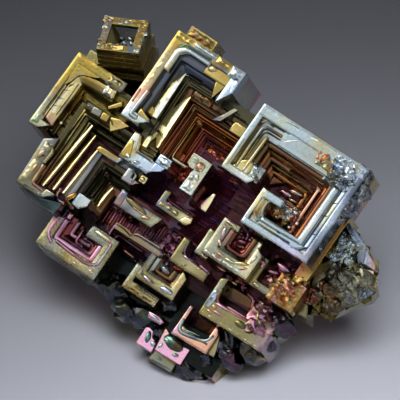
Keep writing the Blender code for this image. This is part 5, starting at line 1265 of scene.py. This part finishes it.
def side_spur(skin):
    """Rough crystal of another bearing that juts out at the right, all broken corners."""
    skin.shade = 0.56
    skin.coarse = 0.7
    # broad lower mass
    skin.facets([(20.2, 3.4, -5.5), (22.6, 4.3, -5.3), (24.3, 4.5, -5.6), (26, 4.1, -6.3), (27.7, 2.6, -7.4),
        (27.5, 1.3, -7.6), (26, -0.7, -7.2), (24.4, -3.2, -7.2), (22.8, -4, -7), (21.4, -3.6, -6.4),
        (19.8, -1.6, -6), (18.9, 1, -5.6)], [(22.4, 2, -4.8), (24.8, 2.6, -5.1), (26.4, 2.2, -5.9),
        (24.2, 0.2, -5), (22, -0.4, -5), (23.4, -2, -5.6), (20.8, 0.9, -5.3), (25.3, 0.9, -5.6), (21.3, 3, -5),
        (23.5, 3.3, -5.2)], [[SAGE, OLIVE], [DRAB, SAGE], [OLIVE, DRAB], [SAGE, MOSS], [SLATE, OLIVE]], seed=4)
    skin.rock(20.3, 24.6, 0.6, 3.4, -5.25, 0.55, 91, [OLIVE, DRAB, SAGE, DRAB], scale=0.8)
    skin.rock(21, 24.2, -2.6, 0.8, -5.45, 0.6, 92, [OLIVE, SAGE, DRAB], scale=0.6)
    # soft lumps that cover most of it
    skin.coarse = 0.45
    skin.shade = 0.8
    for count, (u, v, level, wide, high, tints) in enumerate([(22.4, 1.7, -5.35, 1.9, 1.1,
            [OLIVE, DRAB, MOSS, SAGE]), (24.8, 2.5, -5.7, 1.8, 1.1, [SLATE, OLIVE, SAGE, MOSS]),
            (24.5, 0.3, -5.6, 2, 1.2, [SLATE, DRAB, MOSS, SAGE]),
            (22.2, -0.6, -5.5, 1.8, 1.2, [MOSS, BROWN, OLIVE]),
            (23.5, -2.3, -5.9, 1.7, 1.2, [OLIVE, MOSS, BROWN]),
            (21.2, -2.5, -5.8, 1.4, 1.1, [BROWN, MOSS, MAROON]),
            (26, 1.5, -6.4, 1.5, 1, [SLATE, STEEL, MOSS])]):
        skin.lump(seat(u, v, level), (wide, wide * 0.85, high), 110 + count, tints, detail=4, rough=0.3)
    skin.shade = 1.42
    # slate-blue facet at the top, with fine silvery growth beside it
    skin.coarse = 0.1
    skin.plate([(19, 8.5), (22.9, 7), (24.2, 4.2), (23.2, 4.5), (21.6, 6.2), (19.1, 7.7)], -4.75,
        [SLATE, STEEL, SLATE, SLATE, SILVER, SLATE], root=3, fall=[0.1, 0.5, 0.6, 0.2, 0, 0])
    skin.rock(19.1, 22.7, 2.9, 6.9, -5.05, 0.45, 93, [SLATE, SILVER, DRAB, SLATE, SILVER], scale=1.5)
    skin.plate([(23.2, 6.6), (25.4, 5.5), (25.9, 4.3), (24.2, 4.4)], -5.6, [LILAC, SALMON, SILVER, SLATE],
        root=2.5, fall=[0, 0.6, 0.6, 0])
    for corners in ([(21.6, 4.6), (22.4, 5.9), (22.9, 4.4)], [(20.3, 2.9), (21, 3.5), (21.1, 2.7)]):
        skin.plate(corners, -4.5, [NAVY, NAVY, SLATE], root=1.5, fall=[0.5, 0, 0.4], bevel=0.04, tone=0.35)
    dice = random.Random(SEED)
    for count in range(26):
        u = dice.uniform(19.4, 22.4)
        v = dice.uniform(3.2, 7.4) - 0.3 * (u - 19.4)
        way = dice.uniform(0, math.pi)
        reach = dice.uniform(0.25, 0.6)
        bend = dice.uniform(-0.3, 0.3)
        middle = (u + reach * math.cos(way), v + reach * math.sin(way))
        last = (middle[0] + reach * math.cos(way + 1.2 + bend), middle[1] + reach * math.sin(way + 1.2 + bend))
        skin.coil([(u, v), middle, last], [0.1], 0.3, -4.55 + dice.uniform(-0.1, 0.15), ROUND,
            [PEARL, SILVER, STRAW], root=0.8)
    skin.ridge((19.1, 6.9), (19.9, 2.3), 0.12, -4.5, [SILVER, PEARL], root=1.5)
    skin.ridge((22.9, 7), (24.1, 4.2), 0.1, -5.1, [SILVER, LILAC], root=1.5)
    for count in range(30):
        u = dice.uniform(20.2, 26.2)
        v = dice.uniform(-2.6, 3.4) - 0.15 * (u - 23)
        size = dice.uniform(0.16, 0.42)
        if v < -0.8 and u > 24:
            u -= 2
        turn = Euler((dice.uniform(-0.8, 0.8), dice.uniform(-0.8, 0.8), dice.uniform(0, 3))).to_matrix()
        tints = [[GREY, SLATE], [DRAB, OLIVE], [MOSS, OLIVE], [SAGE, DRAB], [DRAB, OLIVE]][count % 5]
        skin.cube(seat(u, v, -5.35 - 0.12 * max(0, u - 23.5)), turn,
            (-size, size, -size * 0.7, size * 0.7, -size, size), tints, 0.6, 0.1)
    # foot of the spur and the golden wall beside the big hopper
    skin.plate([(19.6, -5.9), (19.3, -4), (20.4, -3), (21.9, -5.7)], -6.5, [MOSS, OLIVE], root=2.4, bevel=0.3,
        tone=0.6)
    skin.lens((20.6, -3.2, -6.3), (1.1, 0.8, 0.5), [MAROON, MOSS], 20)
    skin.block(16.8, 18.9, -1.5, 9.2, -4.3, [BROWN, GOLD, BROWN], root=6)
    skin.rock(16.9, 18.8, -3, 9, -4.5, 0.4, 90, [BROWN, MOSS, GOLD, BROWN], root=2, scale=0.7)


def rough_lumps(skin):
    """Broken, lumpy metal along the lower right edge and the foot."""
    lumps = [(17.2, -4.1, -5.2, 2.2, 1.9), (18.3, -2.2, -5.6, 1.5, 1.5), (16.8, -8.9, -6.4, 1.8, 1.7),
        (17, -10.8, -6.4, 1.5, 1.5), (16.2, -7.2, -6.6, 1.5, 1.5), (19.3, -8.4, -8.6, 2.4, 3.4),
        (18.6, -11.2, -9, 2.2, 3.2), (18.4, -13.3, -10, 2.3, 3.4), (16.4, -15.8, -11.2, 2.2, 3),
        (15, -13.8, -10.2, 2.2, 2.6), (12.4, -20.1, -13, 2.4, 2.9), (14.4, -17.8, -12.4, 2.3, 2.8),
        (0.3, -18.2, -12, 2.2, 2.6), (-2.8, -16.4, -11, 2.5, 2.4), (2.8, -17.4, -12.2, 2.4, 2.6),
        (-6.6, -16.8, -10.8, 1.5, 1.6), (5.4, -15, -12, 2.2, 2.4), (8.6, -20, -13.4, 2.2, 2)]
    for count, (u, v, level, wide, deep) in enumerate(lumps):
        skin.coarse = 0.85 if count < 2 else 0.35
        skin.shade = 0.9 if count < 5 else 0.5
        if count < 2:
            tints = [COPPER, BRASS, AMBER, SALMON, AMBER]
        elif count < 5:
            tints = [MAUVE, ROSE, OLIVE, PLUM, PINK]
        elif count < 9:
            tints = [SLATE, PLUM, NAVY, OLIVE]
        else:
            tints = [SLATE, NAVY, MOSS, TEAL]
        skin.lump(seat(u, v, level), (wide * 0.97, wide * 0.82, deep * 0.97), 80 + count, tints, detail=4,
            rough=0.34 if count < 5 else 0.2)
    # crust of the copper heap
    skin.coarse = 0.8
    skin.shade = 0.85
    skin.rock(15.3, 19.4, -6.2, -2.2, -4.1, 1.3, 95, [ROSE, SALMON, COPPER, BRASS, AMBER, COPPER], root=2.5,
        edge=1.3, step=0.13)


# ---- the base: sides, back and foot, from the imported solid


def base_body(material):
    """The solid's own sides and back, a little shrunk, and sunk where the swept ledges lie over it."""
    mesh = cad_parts[NODE].data.copy()
    mesh.name = "base_body"
    mesh.materials.clear()
    shape = bmesh.new()
    shape.from_mesh(mesh)
    bmesh.ops.remove_doubles(shape, verts=shape.verts, dist=1e-7)
    bmesh.ops.dissolve_limit(shape, angle_limit=FLAT_ANGLE, verts=shape.verts, edges=shape.edges)
    bmesh.ops.recalc_face_normals(shape, faces=shape.faces)
    tree = BVHTree.FromBMesh(shape)
    out = TURN @ Vector((0, 0, 1))
    sunk = set()
    for face in shape.faces:
        if face.normal.dot(out) > OPEN_SIDE:
            spot = face.calc_center_median() + out * 1e-5
            if tree.ray_cast(spot, out)[0] is None:
                sunk.update(face.verts)
    shape.normal_update()
    moves = {}
    for vert in shape.verts:
        moves[vert] = -vert.normal * BASE_SHRINK * MM
        if vert in sunk:
            moves[vert] -= out * BASE_SINK * MM
    lowest = min(vert.co.z for vert in shape.verts)
    for vert, move in moves.items():
        if vert.co.z > lowest + 1e-6:
            vert.co += move
    # Marks the faces that the side metal paints darker as painted shade: 0.5 where they look out of the open
    # side, 1 in the deep floor.
    shade_mark = shape.loops.layers.float.new("floor")
    for face in shape.faces:
        middle = TURN.transposed() @ (face.calc_center_median() / MM - ORIGIN)
        deep = middle.z < FLOOR_LEVEL and middle.x - LEAN_U * middle.z < FLOOR_END
        facing = face.normal.dot(out) > OPEN_SIDE
        for loop in face.loops:
            loop[shade_mark] = (1.0 if deep else 0.5) if facing else 0.0
    shape.to_mesh(mesh)
    shape.free()
    piece = link("base_body", mesh)
    mesh.materials.append(material)
    soften = piece.modifiers.new("soft_edges", "BEVEL")
    soften.width = BASE_EDGE * MM
    soften.segments = 2
    soften.limit_method = "ANGLE"
    soften.angle_limit = BASE_EDGE_ANGLE
    soften.use_clamp_overlap = True
    return piece


# ---- materials


class Nodes:
    """Small helper that adds nodes to a material and links them."""

    def __init__(self, name):
        self.material = bpy.data.materials.new(name)
        self.material.use_nodes = True
        self.tree = self.material.node_tree
        self.shader = self.tree.nodes["Principled BSDF"]

    def feed(self, node, inputs):
        """Sets the node's inputs: a socket is linked and a plain value is put on the input itself."""
        for key, value in inputs.items():
            if isinstance(value, bpy.types.NodeSocket):
                self.tree.links.new(value, node.inputs[key])
            else:
                node.inputs[key].default_value = value

    def add(self, kind, inputs, **settings):
        node = self.tree.nodes.new(kind)
        for key, value in settings.items():
            setattr(node, key, value)
        self.feed(node, inputs)
        return node

    def noise(self, vector, scale, detail=4.0, rough=0.55, warp=0.0):
        return self.add("ShaderNodeTexNoise", {"Vector": vector, "Scale": scale, "Detail": detail,
                                               "Roughness": rough, "Distortion": warp}).outputs["Fac"]

    def span(self, value, low, high, to_low, to_high):
        """Carries a value from one range over to another."""
        return self.add("ShaderNodeMapRange", {0: value, 1: low, 2: high, 3: to_low, 4: to_high}).outputs[0]

    def maths(self, operation, a, b):
        return self.add("ShaderNodeMath", {0: a, 1: b}, operation=operation).outputs[0]

    def plus(self, a, b):
        return self.maths("ADD", a, b)

    def times(self, a, b):
        return self.maths("MULTIPLY", a, b)

    def ramp(self, value, stops):
        """Films along a scale of values."""
        node = self.add("ShaderNodeValToRGB", {0: value})
        ramp = node.color_ramp
        while len(ramp.elements) < len(stops):
            ramp.elements.new(0.5)
        for element, (place, name) in zip(ramp.elements, stops):
            element.position = place
            element.color = (*film(name), 1.0)
        return node.outputs[0]

    def blend(self, share, a, b, mode="MIX"):
        """Mixes colour b into colour a; 0, 6 and 7 are the node's factor and its two colours."""
        return self.add("ShaderNodeMix", {0: share, 6: a, 7: b}, data_type="RGBA", blend_type=mode).outputs[2]

    def carried(self, name):
        """Node for a value that the mesh carries."""
        return self.add("ShaderNodeAttribute", {}, attribute_name=name)


def finish_metal(nodes, colour, place, lines, grit, roughness):
    """Common part of both metals: film changes, pits, growth lines and roughness."""
    plus, times = nodes.plus, nodes.times
    drift = nodes.noise(place, 420.0, 3.0)
    patch = nodes.noise(place, 300.0, 4.0, 0.6, 0.5)
    speck = nodes.noise(place, 2600.0, 5.0, 0.62)
    warm = nodes.blend(1.0, colour, (1.16, 1.02, 0.72, 1.0), "MULTIPLY")
    colour = nodes.blend(nodes.span(patch, 0.5, 0.66, 0.0, 0.75), colour, warm)
    hue = nodes.span(drift, 0.3, 0.7, 0.485, 0.515)
    spread = plus(0.45, times(grit, 2.2))
    value = plus(1.0, times(nodes.maths("SUBTRACT", speck, 0.5), spread))
    shifted = nodes.add("ShaderNodeHueSaturation", {"Hue": hue, "Saturation": 1.0, "Value": value,
                                                    "Color": colour})
    pit = nodes.noise(place, 1300.0, 6.0, 0.7)
    depth = nodes.span(pit, 0.63, 0.72, 0.0, 1.0)
    # The pits are painted towards near black: painted shade in them.
    dark = nodes.blend(times(depth, 0.5), shifted.outputs[0], (0.03, 0.025, 0.02, 1.0))
    rough = nodes.span(speck, 0.3, 0.75, *roughness)
    rough = plus(plus(rough, times(depth, 0.15)), times(grit, 0.22))
    fine = times(lines, 0.5)
    grains = times(speck, plus(0.25, times(grit, 1.5)))
    height = plus(fine, grains)
    height = nodes.maths("SUBTRACT", height, times(depth, 0.8))
    bump = nodes.add("ShaderNodeBump", {"Strength": 0.5, "Distance": 0.00003, "Height": height})
    broad = nodes.noise(place, 520.0, 2.0)
    wave = nodes.add("ShaderNodeBump", {"Strength": 0.4, "Distance": 0.00012, "Height": broad,
                                        "Normal": bump.outputs[0]})
    nodes.feed(nodes.shader, {"Base Color": dark, "Metallic": 1.0, "Roughness": rough,
                              "Normal": wave.outputs[0]})
    return nodes.material


def swept_metal():
    """Metal whose film colour is carried by the ledges, with growth lines along them."""
    nodes = Nodes("oxidised_bismuth_ledges")
    place = nodes.add("ShaderNodeTexCoord", {}).outputs["Object"]
    colour = nodes.carried("film").outputs["Color"]
    grain = nodes.carried("grain").outputs["Fac"]
    sway = nodes.noise(place, 500.0, 2.0)
    across = nodes.plus(nodes.times(grain, 9.0), nodes.times(sway, 2.5))
    lines = nodes.add("ShaderNodeTexNoise", {"W": across, "Scale": 1.0, "Detail": 3.0, "Roughness": 0.6},
                      noise_dimensions="1D").outputs[0]
    grit = nodes.carried("grit").outputs["Fac"]
    return finish_metal(nodes, colour, place, lines, grit, (0.1, 0.22))


def side_metal():
    """Metal of the sides and back: films that change from gold through rose and blue to green, and painted
    shade in the hollows.
    """
    nodes = Nodes("oxidised_bismuth_sides")
    place = nodes.add("ShaderNodeTexCoord", {}).outputs["Object"]
    turned = nodes.add("ShaderNodeMapping", {"Vector": place,
                                             "Rotation": TURN.inverted().to_euler()}).outputs[0]
    zones = nodes.noise(turned, 62.0, 1.6, 0.45, 0.6)
    colour = nodes.ramp(zones, [(0.28, STEEL), (0.38, DRAB), (0.45, GOLD), (0.51, KHAKI), (0.56, ROSE),
                                (0.62, MAUVE), (0.70, GREY), (0.80, SAGE)])
    streak = nodes.add("ShaderNodeMapping", {"Vector": turned, "Scale": (0.1, 1.0, 0.4)}).outputs[0]
    lines = nodes.noise(streak, 2400.0, 3.0, 0.6, 0.15)
    deep = nodes.ramp(lines, [(0.3, BLACK), (0.42, DARK_RED), (0.5, BLACK), (0.57, DARK_VIOLET),
                              (0.64, DARK_RED), (0.75, BLACK)])
    split = nodes.add("ShaderNodeSeparateXYZ", {"Vector": turned})
    middle = (TURN.transposed() @ ORIGIN).y
    lower = nodes.span(split.outputs[1], (middle - 10.5) * MM, (middle - 7.5) * MM, 1.0, 0.0)
    deep = nodes.blend(lower, deep, nodes.ramp(lines, [(0.4, BLACK), (0.55, DARK_GREEN), (0.7, BLACK)]))
    # Faces that look out of the open side are painted darker, mixed with near black, and the deep floor takes
    # the near-black ramps above: painted shade, with the dark red, violet and green hues of the oxide in its
    # lines.
    mark = nodes.carried("floor").outputs["Fac"]
    shallow = nodes.ramp(lines, [(0.38, BLACK), (0.45, MOSS), (0.52, GOLD), (0.58, MOSS), (0.68, BLACK)])
    colour = nodes.blend(nodes.span(mark, 0.0, 0.5, 0.0, 1.0), colour,
                         nodes.blend(0.4, shallow, (0.02, 0.018, 0.012, 1.0)))
    colour = nodes.blend(nodes.span(mark, 0.5, 1.0, 0.0, 1.0), colour, deep)
    grit = nodes.span(nodes.noise(turned, 95.0, 2.0), 0.5, 0.7, 0.0, 0.3)
    return finish_metal(nodes, colour, place, lines, grit, (0.16, 0.3))


METAL = swept_metal()
SIDES = side_metal()

# ---- building

pieces = []
for draw in (top_hopper, middle_frame, far_left_hopper, left_hopper, right_hopper, centre_pieces, lower_frames,
             lower_left_square, lower_middle_frames, tilted_cube, side_spur, rough_lumps):
    skin = Skin()
    draw(skin)
    pieces.append(skin.make(draw.__name__, METAL))
pieces.append(base_body(SIDES))
for piece in pieces:
    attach(piece, "root")
    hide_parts(NODE)

# ---- floor, light and camera, in metres

FLOOR_HALF = 2.5
# Each softbox: name, direction from the crystal, distance, size, how bright it looks, colour.
SOFTBOXES = [
    ("key", (-0.52, 0.10, 0.86), 0.6, (0.44, 0.44), 3.0, (1.0, 0.98, 0.94)),
    ("face_fill", (-0.343, -0.481, 0.807), 0.8, (0.62, 0.62), 0.66, (0.97, 0.98, 1.0)),
    ("front", (0.35, -0.85, 0.42), 0.8, (0.9, 0.5), 0.3, (1.0, 0.97, 0.95)),
    ("far_side", (0.75, 0.7, 0.35), 0.8, (0.3, 0.5), 0.6, (0.8, 0.88, 1.0)),
    ("behind", (0.1, 0.8, 0.5), 0.8, (1.0, 0.55), 1.3, (1.0, 0.98, 0.95)),
    ("behind_left", (-0.85, 0.45, 0.3), 0.8, (0.6, 0.5), 0.8, (0.95, 0.97, 1.0)),
]
FLOOR_LAMP = Vector((0.02, -0.17, 0.16))
FLOOR_AIM = Vector((0.022, -0.078, 0.0))
DIM = 0.037           # light from all round,
MIRRORED = 0.5        # and as bright as the metal mirrors it
VIEW_WIDTH = 0.054
CAMERA_ELEVATION = math.radians(30.0)


def pale_floor():
    """Matt, bluish white ground."""
    mesh = bpy.data.meshes.new("floor")
    mesh.from_pydata([(x * FLOOR_HALF, y * FLOOR_HALF, 0) for x, y in ((-1, -1), (1, -1), (1, 1), (-1, 1))], [],
                     [(0, 1, 2, 3)])
    floor = link("floor", mesh)
    nodes = Nodes("pale_floor")
    nodes.feed(nodes.shader, {"Base Color": (0.535, 0.55, 0.61, 1.0), "Roughness": 0.9,
                              "Specular IOR Level": 0.0})
    mesh.materials.append(nodes.material)


def aim(thing, place, way):
    """Stands a light or a camera at a place, with its back along a way."""
    thing.location = place
    thing.rotation_mode = "QUATERNION"
    thing.rotation_quaternion = way.to_track_quat("Z", "Y")


def area_lamp(name, size, energy, colour):
    """Rectangular light that the camera does not see."""
    data = bpy.data.lights.new(name, "AREA")
    data.shape = "RECTANGLE"
    data.size, data.size_y = size
    data.energy = energy
    data.color = colour
    lamp = link(name, data)
    lamp.visible_camera = False
    return lamp


def lamps():
    """Softboxes for the metal, and a light of its own for the floor."""
    for name, direction, distance, size, radiance, colour in SOFTBOXES:
        lamp = area_lamp(name, size, radiance * math.pi * size[0] * size[1], colour)
        way = Vector(direction).normalized()
        aim(lamp, ORIGIN * MM + way * distance, way)
        lamp.visible_diffuse = False
    # broad soft light on the front of the floor, which falls away towards the back
    lamp = area_lamp("floor_light", (0.11, 0.11), 0.125, (0.96, 0.965, 1.0))
    lamp.data.spread = math.radians(62)
    aim(lamp, FLOOR_LAMP, FLOOR_LAMP - FLOOR_AIM)
    lamp.visible_glossy = False


def surroundings():
    """Dim light from all round, brighter where the metal mirrors it."""
    world = bpy.data.worlds.new("studio")
    world.use_nodes = True
    tree = world.node_tree
    back = tree.nodes["Background"]
    back.inputs["Color"].default_value = (0.86, 0.9, 1.0, 1.0)
    path = tree.nodes.new("ShaderNodeLightPath")
    level = tree.nodes.new("ShaderNodeMapRange")
    level.inputs["To Min"].default_value = DIM
    level.inputs["To Max"].default_value = MIRRORED
    tree.links.new(path.outputs["Is Glossy Ray"], level.inputs["Value"])
    tree.links.new(level.outputs["Result"], back.inputs["Strength"])
    bpy.context.scene.world = world


def camera():
    """Long lens from the front and above, aimed at the crystal's origin."""
    data = bpy.data.cameras.new("camera")
    data.lens = 1000.0
    data.sensor_width = 36.0
    data.clip_end = 20.0
    back = Vector((0.0, -math.cos(CAMERA_ELEVATION), math.sin(CAMERA_ELEVATION)))
    eye = link("camera", data)
    aim(eye, ORIGIN * MM + back * (VIEW_WIDTH * data.lens / data.sensor_width), back)
    bpy.context.scene.camera = eye


pale_floor()
surroundings()
lamps()
camera()
bpy.context.scene.view_settings.view_transform = "Standard"
